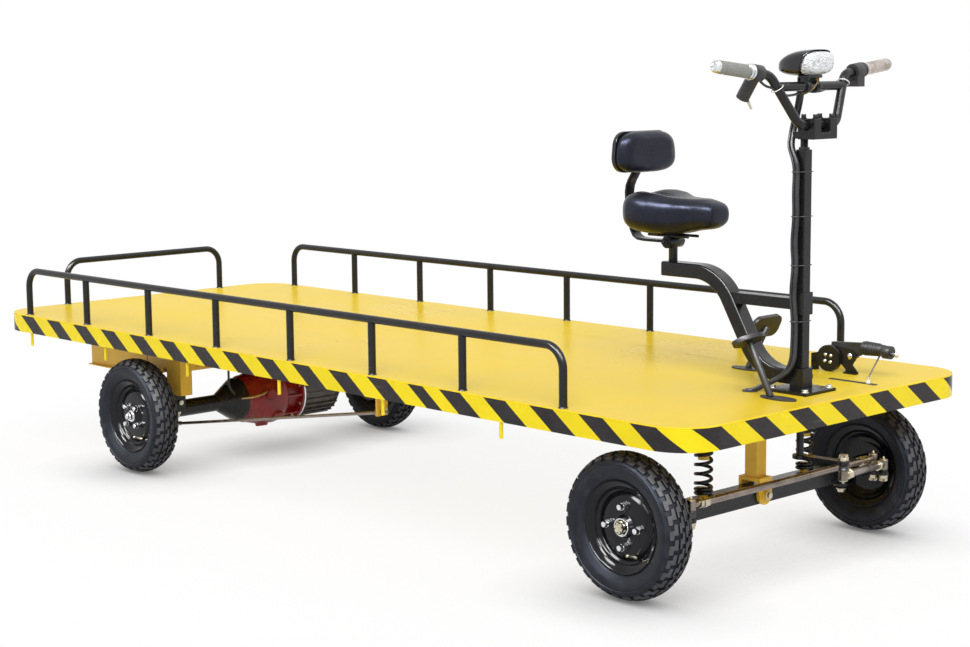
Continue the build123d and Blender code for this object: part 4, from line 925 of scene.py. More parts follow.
class CART_OT_paint(bpy.types.Operator):
    """Finishes on every carried-over solid, with eased edges where the real piece has them"""
    bl_idname = "cart.paint"
    bl_label = "Paint"

    def execute(self, context):
        make_materials()
        slots = {row["node"]: row["material_slot"] for row in frame["record"]["subparts"]}
        slots["column_bushes"] = "black_plastic"
        slots["rope_hooks"] = "hook_paint"
        for name, node in NODES.items():
            node.data.materials.clear()
            node.data.materials.append(material(slots[name]))
            if name in EASED:
                join = node.modifiers.new("Join", "WELD")
                join.merge_threshold = 2e-6
                bevel = node.modifiers.new("Ease", "BEVEL")
                bevel.width = EASED[name]
                bevel.segments = 2
                bevel.limit_method = "ANGLE"
                bevel.angle_limit = math.radians(40)
                bevel.use_clamp_overlap = True
        return {"FINISHED"}


# Seat

SADDLE_STATIONS = (
    # along, half width, top, bottom, dip between the lobes
    (0.890, 0.030, 0.952, 0.908, 0.000),
    (0.896, 0.070, 0.970, 0.890, 0.002),
    (0.908, 0.096, 0.983, 0.879, 0.008),
    (0.932, 0.112, 0.990, 0.874, 0.018),
    (0.965, 0.116, 0.989, 0.873, 0.024),
    (1.000, 0.110, 0.984, 0.873, 0.022),
    (1.030, 0.094, 0.976, 0.874, 0.014),
    (1.060, 0.074, 0.970, 0.876, 0.006),
    (1.095, 0.059, 0.967, 0.884, 0.002),
    (1.130, 0.053, 0.966, 0.890, 0.000),
    (1.160, 0.050, 0.964, 0.893, 0.000),
    (1.172, 0.047, 0.960, 0.896, 0.000),
    (1.179, 0.040, 0.953, 0.902, 0.000),
    (1.182, 0.026, 0.943, 0.912, 0.000),
)
RING = 28


def squared(value, power):
    """Signed power, which squares up a circle's sides."""
    return math.copysign(abs(value) ** power, value)


def skinned(places):
    """One closed skin through rings, each given by a function from an angle to a point."""
    bm = bmesh.new()
    rings = []
    for place in places:
        made = bmesh.ops.create_circle(bm, cap_ends=False, radius=1.0, segments=RING)["verts"]
        for vert in made:
            vert.co = place(math.atan2(vert.co.y, vert.co.x))
        rings.append(set(made))
    loops = [[edge for edge in bm.edges if set(edge.verts) <= ring] for ring in rings]
    for near, far in zip(loops, loops[1:]):
        bmesh.ops.bridge_loops(bm, edges=near + far)
    bmesh.ops.holes_fill(bm, edges=loops[0] + loops[-1], sides=RING + 2)
    bmesh.ops.recalc_face_normals(bm, faces=bm.faces[:])
    return bm


def saddle_ring(centre_y, along, half, top, bottom, dip):
    """One ring of the saddle, with a dip between its two lobes."""
    rise = (top - bottom) / 2
    level = (top + bottom) / 2

    def place(angle):
        across = half * squared(math.cos(angle), 0.72)
        lift = rise * squared(math.sin(angle), 0.62)
        sag = dip * math.exp(-(across / (0.42 * half)) ** 2) if angle > 0 else 0.0
        return Vector((along, centre_y + across, level + lift - sag))

    return place


REST_STATIONS = (
    # share of the pad's depth, share of the outline
    (0.0, 1.0), (0.15, 1.015), (0.45, 1.020), (0.68, 0.995), (0.83, 0.945), (0.93, 0.855),
    (0.98, 0.690), (1.0, 0.400),
)
REST_SETBACK = 0.002


def rest_ring(low, high, depth, share):
    """One ring of the backrest, a little narrower towards its top."""
    centre = (low + high) / 2
    half_y = (high.y - low.y) / 2
    half_z = (high.z - low.z) / 2
    along = low.x + depth * (high.x - low.x - REST_SETBACK)

    def place(angle):
        lift = half_z * share * squared(math.sin(angle), 0.60)
        taper = 0.985 - 0.055 * lift / half_z
        across = half_y * share * squared(math.cos(angle), 0.60) * taper
        return Vector((along, centre.y + across, centre.z + lift))

    return place


STAY_PATH = (
    # along, up, for the middle of the strap from the shell down to the saddle's clamp
    (0.8815, 1.1150), (0.8810, 1.0700), (0.8790, 1.0480), (0.8720, 1.0300), (0.8600, 1.0120),
    (0.8520, 0.9960), (0.8490, 0.9780), (0.8500, 0.9580), (0.8540, 0.9300), (0.8600, 0.9000),
    (0.8680, 0.8720), (0.8780, 0.8560), (0.8930, 0.8480), (0.9150, 0.8462), (0.9400, 0.8460),
)
STAY_HALF_WIDTH, STAY_HALF_SHEET = 0.0170, 0.0040


def strap_ring(point, way):
    """One ring of a flat strap across its way."""
    out = way.cross(Y)

    def place(angle):
        return (point + Y * STAY_HALF_WIDTH * squared(math.cos(angle), 0.18)
                + out * STAY_HALF_SHEET * squared(math.sin(angle), 0.30))

    return place


def make_stay(centre_y):
    """Bent strap that carries the backrest and runs in under the saddle."""
    points = [Vector((along, centre_y, up)) for along, up in STAY_PATH]
    points.append(Vector((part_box("backrest_stay")[1].x, centre_y, points[-1].z)))
    ahead = points[1:] + points[-1:]
    behind = points[:1] + points[:-1]
    rings = [strap_ring(point, (after - before).normalized())
             for point, after, before in zip(points, ahead, behind)]
    strap = to_object("stay_strap", skinned(rings), "black_paint", "chassis", 50.0)
    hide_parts("backrest_stay")


COVER_PRESSURE, COVER_FRAMES = 4.0, 20
SADDLE_CLAMP_DROP, SADDLE_CLAMP_HALF = 0.022, 0.0292


def swollen_cover(pad, name):
    """The pad's mesh with its cover blown out by the foam."""
    cloth = pad.modifiers.new("Cover", "CLOTH")
    cloth.settings.use_pressure = True
    cloth.settings.uniform_pressure_force = COVER_PRESSURE
    cloth.settings.effector_weights.gravity = 0.0
    cloth.settings.quality = 5
    scene = bpy.context.scene
    for number in range(1, COVER_FRAMES + 1):
        scene.frame_set(number)
    mesh = evaluated_mesh(pad, f"{name}_swollen")
    scene.frame_set(1)
    return mesh


def cushion(name, bm, node, voxel, passes):
    """Foam pad: remeshed evenly, swollen under its cover, smoothed and kept within its solid's box."""
    mesh = bpy.data.meshes.new(f"{name}_form")
    bm.to_mesh(mesh)
    bm.free()
    form = place_object(f"{name}_form", mesh)
    remesh = form.modifiers.new("Even", "REMESH")
    remesh.mode = "VOXEL"
    remesh.voxel_size = voxel
    even = evaluated_mesh(form, f"{name}_even")
    bpy.data.objects.remove(form)
    pad = place_object(f"{name}_pad", even)
    rest = [(vert.co.copy(), vert.normal.copy()) for vert in even.vertices]
    swollen = swollen_cover(pad, name)
    bpy.data.objects.remove(pad)
    limit = sizes().swell
    for vert, (start, out) in zip(swollen.vertices, rest):
        vert.co = start + out * min(max((vert.co - start).dot(out), 0.0), limit)
    bm = bmesh.new()
    bm.from_mesh(swollen)
    for _ in range(passes):
        bmesh.ops.smooth_vert(bm, verts=bm.verts[:], factor=0.5, use_axis_x=True, use_axis_y=True,
                              use_axis_z=True)
    low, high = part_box(node)
    for vert in bm.verts:
        vert.co = Vector(min(max(value, small), large) for value, small, large in zip(vert.co, low, high))
    pad = to_object(name, bm, "seat_leather", "chassis", 75.0)
    subdivided(pad)
    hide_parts(node)


class CART_OT_seat(bpy.types.Operator):
    """Saddle and backrest cushions, the backrest's strap and the saddle clamp's bolts"""
    bl_idname = "cart.seat"
    bl_label = "Seat"

    def execute(self, context):
        centre_y = middle("saddle").y
        saddle = skinned([saddle_ring(centre_y, *station) for station in SADDLE_STATIONS])
        cushion("saddle_cushion", saddle, "saddle", 0.005, 10)
        low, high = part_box("backrest_pad")
        backrest = skinned([rest_ring(low, high, *station) for station in REST_STATIONS])
        cushion("backrest_cushion", backrest, "backrest_pad", 0.0045, 8)
        make_stay(centre_y)
        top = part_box("seat_post")[1].z
        clamp = Vector((middle("seat_post").x, centre_y, top - SADDLE_CLAMP_DROP))
        bolts = bmesh.new()
        for side in (-1, 1):
            out = Y * side
            spot = clamp + out * SADDLE_CLAMP_HALF
            bolt_head(bolts, spot, out, (0.002, 0.0025, 0.0135, 0.0125), 0.0100, 0.0075)
            stud(bolts, spot, out, (0.010, 0.016, 0.017), 0.005, 0.004, 16)
        to_object("saddle_clamp_bolt", bolts, "black_paint", "chassis")
        return {"FINISHED"}


# Handlebar

GRIPS = (
    # name, point on the bar inboard of the grip, end of the bar, finishes of the grip and its collar
    ("near", Vector((1.463, -0.132, 1.304)), Vector((1.455, -0.334, 1.327)), "grip_rubber", "chrome"),
    ("far", Vector((1.463, 0.182, 1.304)), Vector((1.455, 0.384, 1.327)), "wrapped_grip", "black_plastic"),
)
GRIP_LENGTH = 0.132
COLLAR = (
    # along, radius
    (0.0, 0.0125), (0.0, 0.0205), (0.003, 0.0212), (0.006, 0.0205), (0.0065, 0.0178), (0.010, 0.0178),
    (0.0105, 0.0198), (0.014, 0.0198), (0.0155, 0.019), (0.0155, 0.0125), (0.0, 0.0125),
)
NEAR_GRIP = (
    (0.016, 0.0125), (0.016, 0.0168), (0.018, 0.0172), (0.098, 0.0168), (0.0995, 0.0160), (0.106, 0.0160),
    (0.1075, 0.0168), (0.124, 0.0164), (0.126, 0.0152), (0.126, 0.0125), (0.016, 0.0125),
)
FAR_GRIP = (
    (0.016, 0.0125),
    *((0.016 + 0.0095 * index, 0.0170 if index % 2 else 0.0158) for index in range(12)),
    (0.1265, 0.0166), (0.133, 0.0150), (0.1365, 0.0110), (0.1375, 0.0),
)
END_RING = (
    (0.1262, 0.0125), (0.1262, 0.0160), (0.131, 0.0160), (0.135, 0.0146), (0.1375, 0.0120),
    (0.1375, 0.0090), (0.1335, 0.0080), (0.1325, 0.0),
)
LAMP_STATIONS = (
    # along, half width, half height, level, forward reach of the brow
    (1.3830, 0.006, 0.004, 1.3230, 0.000),
    (1.3860, 0.022, 0.010, 1.3235, 0.000),
    (1.3950, 0.035, 0.017, 1.3250, 0.000),
    (1.4100, 0.046, 0.024, 1.3280, 0.001),
    (1.4300, 0.0535, 0.0300, 1.3310, 0.003),
    (1.4530, 0.0575, 0.0335, 1.3330, 0.007),
    (1.4720, 0.0586, 0.0345, 1.3332, 0.015),
    (1.4830, 0.0586, 0.0347, 1.3330, 0.021),
    (1.4860, 0.0572, 0.0332, 1.3330, 0.021),
    (1.4830, 0.0552, 0.0315, 1.3328, 0.014),
    (1.4640, 0.0480, 0.0250, 1.3320, 0.000),
)
LENS_STATIONS = (
    (1.4700, 0.0490, 0.0260, 1.3320, 0.004),
    (1.4840, 0.0552, 0.0312, 1.3322, 0.012),
    (1.4930, 0.0550, 0.0311, 1.3320, 0.012),
    (1.5020, 0.0528, 0.0296, 1.3316, 0.009),
    (1.5100, 0.0470, 0.0255, 1.3310, 0.006),
    (1.5160, 0.0360, 0.0190, 1.3305, 0.003),
    (1.5195, 0.0200, 0.0105, 1.3302, 0.001),
    (1.5203, 0.0060, 0.0030, 1.3300, 0.000),
)
BRACKET_RING = (
    # along, radius
    (0.0, 0.0122), (0.0, 0.0165), (0.001, 0.0172), (0.013, 0.0172), (0.014, 0.0165), (0.014, 0.0122),
    (0.0, 0.0122),
)
CROSSBAR_X, CROSSBAR_Z = 1.4707, 1.274
LOCK = Vector((1.424, -0.176, 1.250))
LOCK_WAY = Vector((0.38, 0.16, -0.91)).normalized()
LOCK_FACE = ((-0.006, 0.0), (-0.006, 0.0105), (0.004, 0.0105), (0.006, 0.009), (0.006, 0.0))
KEY_SIZE, KEY_MIDDLE = (0.0022, 0.0080, 0.028), 0.020
SOCKET_SCREW = (
    (0.0, 0.0), (0.0, 0.0085), (0.0015, 0.0085), (0.0015, 0.0064), (0.010, 0.0064), (0.0112, 0.0055),
    (0.0112, 0.0034), (0.0065, 0.0030), (0.0065, 0.0),
)
CLAMP_X = 1.496


def lamp_ring(centre_y, along, half, rise, level, brow):
    """One ring of the lamp, whose upper edge can reach forward as a brow."""

    def place(angle):
        across = half * squared(math.cos(angle), 0.62)
        lift = rise * squared(math.sin(angle), 0.66)
        return Vector((along + brow * math.sin(angle), centre_y + across, level + lift))

    return place


def lamp_piece(name, stations, centre_y, finish):
    """Housing or lens through its rings."""
    form = skinned([lamp_ring(centre_y, *station) for station in stations])
    piece = to_object(name, form, finish, "steering", 60.0)
    subdivided(piece)
    return piece


def make_lamp():
    """Lamp housing and lens, on a bracket that clips round the crossbar."""
    centre_y = middle("headlamp_lens").y
    shell = lamp_piece("lamp_housing", LAMP_STATIONS, centre_y, "shell_plastic")
    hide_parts("headlamp_shell")
    lens = lamp_piece("lamp_lens", LENS_STATIONS, centre_y, "lens_clear")
    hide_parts("headlamp_lens")
    bar = Vector((CROSSBAR_X, centre_y, CROSSBAR_Z))
    bracket = bmesh.new()
    for side in (-1, 1):
        spot = bar + Y * (side * 0.019 - 0.007)
        lathe(bracket, BRACKET_RING, spot, Y, 32)
        box(bracket, spot + Vector((-0.011, 0.001, 0.0135)), spot + Vector((0.011, 0.013, 0.029)), 0.0015)
        hexagon(bracket, spot + Vector((0.0168, 0.007, 0.0)), X, 0.0065, 0.005)
    box(bracket, bar + Vector((-0.017, -0.030, 0.021)), bar + Vector((0.017, 0.030, 0.0285)), 0.002)
    to_object("lamp_bracket", bracket, "black_plastic", "steering")


def make_grips():
    """Grips with their collars, and the near one's end ring."""
    for name, inner, end, rubber_finish, collar_finish in GRIPS:
        way = (end - inner).normalized()
        start = end - way * GRIP_LENGTH
        collar = bmesh.new()
        lathe(collar, COLLAR, start, way, 40)
        if name == "near":
            lathe(collar, END_RING, start, way, 40)
        rubber = bmesh.new()
        lathe(rubber, NEAR_GRIP if name == "near" else FAR_GRIP, start, way, 40)
        grip = to_object(f"grip_{name}", rubber, rubber_finish, "steering", 50.0)
        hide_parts("grips")
        to_object(f"grip_collar_{name}", collar, collar_finish, "steering")


def make_key():
    """Lock face with its flat key."""
    turned("lock_face", LOCK_FACE, LOCK, LOCK_WAY, 28, "black_plastic", "steering")
    bm = bmesh.new()
    turn = facing(LOCK_WAY, LOCK + LOCK_WAY * KEY_MIDDLE)
    made = bmesh.ops.create_cube(bm, size=1.0, matrix=turn @ Matrix.Diagonal((*KEY_SIZE, 1.0)))
    tip = [vert for vert in made["verts"] if (vert.co - LOCK).dot(LOCK_WAY) > KEY_MIDDLE]
    bmesh.ops.scale(bm, verts=tip, vec=(0.7, 0.7, 1.0), space=facing(LOCK_WAY, LOCK).inverted())
    ease(bm, made["verts"], 0.0005)
    to_object("key", bm, "zinc", "steering")


def make_clamp_bolts():
    """Socket screws of the bar clamp."""
    bm = bmesh.new()
    centre_y = middle("bar_clamp").y
    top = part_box("bar_clamp")[1].z
    for side_x in (-1, 1):
        for side_y in (-1, 1):
            spot = Vector((CLAMP_X + side_x * 0.0185, centre_y + side_y * 0.034, top))
            lathe(bm, SOCKET_SCREW, spot, Z, 28)
    to_object("clamp_bolts", bm, "black_paint", "steering")


class CART_OT_handlebar(bpy.types.Operator):
    """Grips with their collars, key, clamp bolts and head lamp"""
    bl_idname = "cart.handlebar"
    bl_label = "Handlebar"

    def execute(self, context):
        make_grips()
        make_lamp()
        make_key()
        make_clamp_bolts()
        return {"FINISHED"}


# Wiring

LOOM = (
    # middle line, from the lamp down the column to the deck
    (1.4454, 0.025, 1.2970), (1.4452, 0.025, 1.2700), (1.4400, 0.026, 1.2350), (1.4235, 0.034, 1.1950),
    (1.4180, 0.028, 1.1550), (1.4270, 0.008, 1.1200), (1.4460, 0.0015, 1.0900),
    (1.4535, 0.0010, 1.0600), (1.4520, -0.0010, 1.0000), (1.4540, 0.0005, 0.9400),
    (1.4500, -0.0035, 0.8700), (1.4540, 0.0005, 0.8130), (1.4490, -0.0045, 0.7400),
    (1.4540, 0.0005, 0.6660), (1.4535, -0.0005, 0.6100), (1.4520, -0.0020, 0.5620),
    (1.4400, -0.0110, 0.5320), (1.4080, -0.0330, 0.5070), (1.3640, -0.0650, 0.4810),
)
STRANDS = (
    # name, radius, shift along X, shift along Y
    ("loom_main", 0.0072, 0.000, 0.000),
    ("loom_thin", 0.0036, -0.0095, 0.0035),
    ("loom_flat", 0.0032, -0.0050, -0.0085),
)
TIE_LEVELS = (1.055, 0.940, 0.813, 0.666)
TIE_EDGE = 0.0012
ROUND_LOOM = (
    # along, across, where a tie bulges out about the loom
    (1.4400, 0.0020), (1.4405, -0.0060), (1.4455, -0.0125), (1.4530, -0.0125), (1.4610, -0.0080),
    (1.4640, 0.0020),
)
GROMMET = (
    # along, radius
    (0.0, 0.0), (0.0, 0.021), (0.0025, 0.0205), (0.0035, 0.0185), (0.004, 0.012), (0.006, 0.0105),
    (0.006, 0.0),
)
GROMMET_PLACE = (1.3600, -0.0680, 0.4801)
LEADS = (
    # name, finish, shift along X, lift
    ("lead_yellow", "wire_yellow", 0.0, 0.0),
    ("lead_brown", "wire_brown", 0.004, 0.003),
    ("lead_green", "wire_green", -0.004, -0.003),
)
LEAD_RADIUS = 0.0015
CONTROL_CABLES = (
    # right and left, from the pods to the loom
    ((1.4620, -0.1700, 1.2900), (1.4620, -0.1500, 1.2760), (1.4680, -0.1240, 1.2720),
     (1.4760, -0.0960, 1.2520), (1.4720, -0.0500, 1.2520), (1.4560, -0.0050, 1.2560),
     (1.4470, 0.0180, 1.2640)),
    ((1.4620, 0.2300, 1.2920), (1.4630, 0.2000, 1.2860), (1.4500, 0.1700, 1.2800), (1.4540, 0.1300, 1.2680),
     (1.4540, 0.0800, 1.2580), (1.4500, 0.0400, 1.2600), (1.4470, 0.0290, 1.2680)),
)
CONTROL_RADIUS = 0.0032
BAR_TIES = (
    # place, way of the bar
    (Vector((1.4720, -0.1120, 1.2700)), Vector((-0.2, -0.5, 0.82))),
    (Vector((1.4690, 0.1680, 1.2820)), Vector((-0.2, 0.5, 0.82))),
)
BAR_TIE_RADIUS, BAR_TIE_POINTS = 0.0168, 12


def tie_round(z):
    """Points of a cable tie about the column and its loom; a corner is given twice to stay tight."""
    low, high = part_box("steering_column")
    near, far = low.y - TIE_EDGE, high.y + TIE_EDGE
    back, front = low.x - TIE_EDGE, high.x + TIE_EDGE
    corners = ((front, near), (front, far), (back, far), (back, near))
    spots = [corner for corner in corners for _ in range(2)] + list(ROUND_LOOM)
    return [(*spot, z) for spot in spots]


def tie_ring(spot, way):
    """Points of a cable tie about the bar."""
    turn = facing(way.normalized(), spot)
    angles = [index * math.tau / BAR_TIE_POINTS for index in range(BAR_TIE_POINTS)]
    return [turn @ Vector((BAR_TIE_RADIUS * math.cos(angle), BAR_TIE_RADIUS * math.sin(angle), 0.0))
            for angle in angles]


def lead_path(shift, lift):
    """One lead from the back of the lamp round the crossbar to the loom."""
    return (
        (1.474 + shift, 0.0400, 1.3000), (1.490 + shift, 0.0360, 1.2900 + lift),
        (1.4895, 0.0200, 1.2720 + lift), (1.478 + shift, 0.0040, 1.2580 + lift),
        (1.4600, 0.0060, 1.2560 + lift), (1.4480, 0.0200, 1.2660))


class CART_OT_wiring(bpy.types.Operator):
    """Loom that bends at the steering head, its ties, lamp leads and control cables along the bar"""
    bl_idname = "cart.wiring"
    bl_label = "Wiring"

    def execute(self, context):
        for name, radius, shift_x, shift_y in STRANDS:
            path = [Vector(point) + Vector((shift_x, shift_y, 0.0)) for point in LOOM]
            strand = cables(name, [path], radius, "cable_jacket", None)
            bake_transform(strand)
            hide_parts("wiring_harness", "bar_loom")
        loops = [tie_round(z) for z in TIE_LEVELS]
        cables("column_ties", loops, sizes().cable_tie, "black_plastic", "chassis", True)
        turned("loom_grommet", GROMMET, GROMMET_PLACE, Z, 32, "boot_rubber", "chassis")
        for name, finish, shift, lift in LEADS:
            cables(name, [lead_path(shift, lift)], LEAD_RADIUS, finish, "steering")
        cables("control_cables", CONTROL_CABLES, CONTROL_RADIUS, "cable_jacket", "steering")
        loops = [tie_ring(spot, way) for spot, way in BAR_TIES]
        cables("bar_ties", loops, sizes().cable_tie, "nylon", "steering", True)
        return {"FINISHED"}


# Steering linkage

BEAM_X, BEAM_PIVOT_Z = 1.3275, 0.190
TIE_X, TIE_Z, KINGPIN_Y = 1.4325, 0.240, 0.390
KINGPIN_ENDS = (
    # way up, level of the fork's face
    (1, 0.214), (-1, 0.1398),
)
ARM_TOP, ARM_UNDER = 0.206, 0.1957
PITMAN_UNDER, PITMAN_TOP = 0.2853, 0.3100
DRAG_KNUCKLE = Vector((1.4585, 0.402, 0.226))
DRAG_PITMAN = Vector((1.586, 0.037, 0.272))
BOOT_GAP = 0.0003
BOOT = (
    # share of the height, radius
    (0.0, 0.0076), (0.0, 0.0128), (0.18, 0.0136), (0.38, 0.0122), (0.50, 0.0132), (0.70, 0.0120),
    (0.86, 0.0124), (1.0, 0.0104), (1.0, 0.0076), (0.0, 0.0076),
)
SOCKET_CAP = (
    # along, radius, with a grease nipple
    (0.0, 0.0), (0.0, 0.0118), (0.0016, 0.0114), (0.003, 0.0090), (0.003, 0.0038), (0.006, 0.0034),
    (0.008, 0.0028), (0.009, 0.0016), (0.009, 0.0),
)
SOCKET_HALF = 0.013
JOINT_NUT = (
    # corner radius, height
    0.0135, 0.0165,
)
SPRING_Y, SPRING_RADIUS, SPRING_WIRE = 0.216, 0.0212, 0.0048
CLOSED_PITCH, OPEN_PITCH, TURN_STEPS = 0.0102, 0.0249, 16
SPIGOT = ((0.0, 0.0), (0.0, 0.0150), (0.0285, 0.0150), (0.0285, 0.0))


def boot(bm, base, height):
    """Rubber gaiter between an arm and a socket."""
    lathe(bm, [(share * height, radius) for share, radius in BOOT], base, Z, 28)


def socket_cap(bm, centre, up):
    """Pressed cap and grease nipple on a ball joint's closed end."""
    way = Z * up
    lathe(bm, SOCKET_CAP, centre + way * SOCKET_HALF, way, 28)


def lock_nuts(bm, end, way):
    """Lock nut and collar on a rod, next to its ball joint."""
    hexagon(bm, end + way * 0.0300, way, 0.0135, 0.011)
    hexagon(bm, end + way * 0.0430, way, 0.0150, 0.020)


def rod_tube(span):
    """Profile of the tube between the lock nuts of a rod whose ball centres are a span apart."""
    bore, tip, radius = 0.0078, 0.0092, 0.0100
    start, end = 0.0560, span - 0.0560
    taper = 0.004
    return ((start, bore), (start, tip), (start + taper, radius), (end - taper, radius), (end, tip),
            (end, bore), (start, bore))


def make_springs():
    """Coil springs with closed end turns, on painted spigots."""
    low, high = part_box("coil_springs")
    pitches = [CLOSED_PITCH] * 36 + [OPEN_PITCH] * 56 + [CLOSED_PITCH] * 16
    share = (high.z - low.z - 2 * SPRING_WIRE) / (sum(pitches) / TURN_STEPS)
    coils = []
    spigots = bmesh.new()
    for side in (-1, 1):
        centre_y = side * SPRING_Y
        rise = low.z + SPRING_WIRE
        points = []
        for index, pitch in enumerate(pitches):
            angle = index * math.tau / TURN_STEPS
            along = BEAM_X + SPRING_RADIUS * math.cos(angle)
            points.append((along, centre_y + SPRING_RADIUS * math.sin(angle), rise))
            rise += pitch * share / TURN_STEPS
        coils.append(points)
        lathe(spigots, SPIGOT, (BEAM_X, centre_y, high.z - 0.0287), Z, 32)
        stud(spigots, (BEAM_X, centre_y, low.z + 0.0002), Z, (0.0, 0.0240, 0.0250), 0.0130, 0.0115, 32)
    springs = cables("springs", coils, SPRING_WIRE, "black_paint", "chassis", False, 2)
    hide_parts("coil_springs")
    to_object("spring_spigots", spigots, "frame_paint", "chassis")


def knuckle_hardware(hand, side):
    """Boots and castle nuts of the ball joints on a knuckle's arm, and its kingpin's nuts."""
    body = f"knuckle_{hand}"
    joint_y = side * KINGPIN_Y
    boots = bmesh.new()
    boot(boots, Vector((TIE_X, joint_y, ARM_TOP + BOOT_GAP)), 0.0205)
    castle_nut(f"tie_nut_{hand}", Vector((TIE_X, joint_y, ARM_UNDER)), -Z, *JOINT_NUT, body)
    if side > 0:
        boot(boots, Vector((DRAG_KNUCKLE.x, DRAG_KNUCKLE.y, ARM_TOP + BOOT_GAP)), 0.0066)
        castle_nut("drag_nut", Vector((DRAG_KNUCKLE.x, DRAG_KNUCKLE.y, ARM_UNDER)), -Z, *JOINT_NUT, body)
    to_object(f"boots_{hand}", boots, "boot_rubber", body)
    pin = bmesh.new()
    for up, level in KINGPIN_ENDS:
        spot = Vector((BEAM_X, joint_y, level))
        bolt_head(pin, spot, Z * up, (0.002, 0.003, 0.0150, 0.0140), 0.0115, 0.008, 28)
    to_object(f"kingpin_nuts_{hand}", pin, "zinc", body)


def make_tie_rod():
    """Ends and tube of the rod between the knuckles."""
    ends = bmesh.new()
    for side in (-1, 1):
        end = Vector((TIE_X, side * KINGPIN_Y, TIE_Z))
        socket_cap(ends, end, 1)
        lock_nuts(ends, end, -Y * side)
    to_object("tie_rod_ends", ends, "zinc", "tie_rod")
    turned("tie_rod_tube", rod_tube(2 * KINGPIN_Y), (TIE_X, -KINGPIN_Y, TIE_Z), Y, 36,
           "bare_steel", "tie_rod")


def make_drag_link():
    """Ends and tube of the rod from the pitman arm to the knuckle, and the joint on the arm."""
    span = DRAG_KNUCKLE - DRAG_PITMAN
    way = span.normalized()
    ends = bmesh.new()
    socket_cap(ends, DRAG_KNUCKLE, 1)
    socket_cap(ends, DRAG_PITMAN, -1)
    lock_nuts(ends, DRAG_PITMAN, way)
    lock_nuts(ends, DRAG_KNUCKLE, -way)
    to_object("drag_link_ends", ends, "zinc", "drag_link")
    turned("drag_link_tube", rod_tube(span.length), DRAG_PITMAN, way, 36,
           "bare_steel", "drag_link")
    boots = bmesh.new()
    boot(boots, Vector((DRAG_PITMAN.x, DRAG_PITMAN.y, PITMAN_UNDER)), 0.0144)
    to_object("pitman_boot", boots, "boot_rubber", "steering")
    castle_nut("pitman_nut", Vector((DRAG_PITMAN.x, DRAG_PITMAN.y, PITMAN_TOP)), Z, *JOINT_NUT, "steering")


class CART_OT_linkage(bpy.types.Operator):
    """Springs, rod tubes, ball joint boots, caps, lock nuts and castle nuts of the front axle"""
    bl_idname = "cart.linkage"
    bl_label = "Steering linkage"

    def execute(self, context):
        make_springs()
        for hand, side in HANDS:
            knuckle_hardware(hand, side)
        make_tie_rod()
        make_drag_link()
        low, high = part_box("beam_hanger")
        pivot = bmesh.new()
        for x, way in ((low.x, -X), (high.x, X)):
            spot = Vector((x, 0.0, BEAM_PIVOT_Z))
            bolt_head(pivot, spot, way, (0.0015, 0.002, 0.0125, 0.0118), 0.0095, 0.0065)
        to_object("beam_pivot_nuts", pivot, "zinc", "chassis")
        return {"FINISHED"}


# Rear drive

AXLE = Vector((-0.848, 0.0, 0.190))
FLANGE_RING = (
    # along, radius
    (0.0, 0.090), (0.0, 0.0975), (0.001, 0.0985), (0.0045, 0.0985), (0.0055, 0.0975), (0.0055, 0.090),
    (0.0, 0.090),
)
FLANGE_BOLTS = 8
BOSSES = (
    # angle about the axle, along the gearbox, radius, reach
    (12, 0.075, 0.018, 0.107), (62, 0.105, 0.014, 0.106), (-38, 0.115, 0.020, 0.106),
    (118, 0.085, 0.016, 0.106), (-80, 0.090, 0.022, 0.104),
)
BOSS_FOOT = 0.070
BREATHER_PIPE = (
    (-0.7930, -0.1560, 0.2030), (-0.7800, -0.1480, 0.2050), (-0.7600, -0.1200, 0.2080),
    (-0.7480, -0.0800, 0.2160), (-0.7560, -0.0560, 0.2230),
)
SADDLE_Y, SADDLE_BOLT_X, SADDLE_BOLT_Z = 0.397, 0.040, 0.222
BRAKE_ROD_NUT = Vector((0.2585, -0.400, 0.3295))


def make_gearbox_fittings():
    """Flange ring, bolts, cast bosses and breather pipe of the gearbox."""
    low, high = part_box("gearbox")
    turned("motor_flange_ring", FLANGE_RING, AXLE + Y * (high.y - 0.0025), Y, 64,
           "chrome", "chassis")
    bolts = bmesh.new()
    for index in range(FLANGE_BOLTS):
        way = spoke((index + 0.5) * 360 / FLANGE_BOLTS)
        hexagon(bolts, AXLE + way * 0.082 + Y * (high.y - 0.009), -Y, 0.0075, 0.006)
        hexagon(bolts, AXLE + way * 0.0675 + Y * (low.y - 0.0005), -Y, 0.0065, 0.006)
    to_object("drive_bolts", bolts, "zinc", "chassis")
    cast = bmesh.new()
    for degrees, along, radius, reach in BOSSES:
        profile = ((BOSS_FOOT, 0.0), (BOSS_FOOT, radius * 1.15), (reach - 0.004, radius),
                   (reach, radius * 0.9), (reach, 0.0))
        lathe(cast, profile, AXLE + Y * (low.y + along), spoke(degrees), 28)
    to_object("casting_bosses", cast, "red_paint", "chassis")
    cables("breather_pipe", [BREATHER_PIPE], 0.0042, "brass", "chassis")


def make_axle_clamps():
    """Bolts under and beside the saddles that hold the axle."""
    clamps = bmesh.new()
    for side in (-1, 1):
        for reach in (-SADDLE_BOLT_X, SADDLE_BOLT_X):
            spot = Vector((AXLE.x + reach, side * SADDLE_Y, AXLE.z))
            hexagon(clamps, spot, -Z, 0.0105, 0.009)
            stud(clamps, spot, -Z, (0.009, 0.020, 0.021), 0.0055, 0.0045, 16)
        spot = Vector((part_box("axle_saddles")[1].x, side * SADDLE_Y, SADDLE_BOLT_Z))
        hexagon(clamps, spot, X, 0.0095, 0.008)
    to_object("axle_clamp_bolts", clamps, "zinc", "chassis")


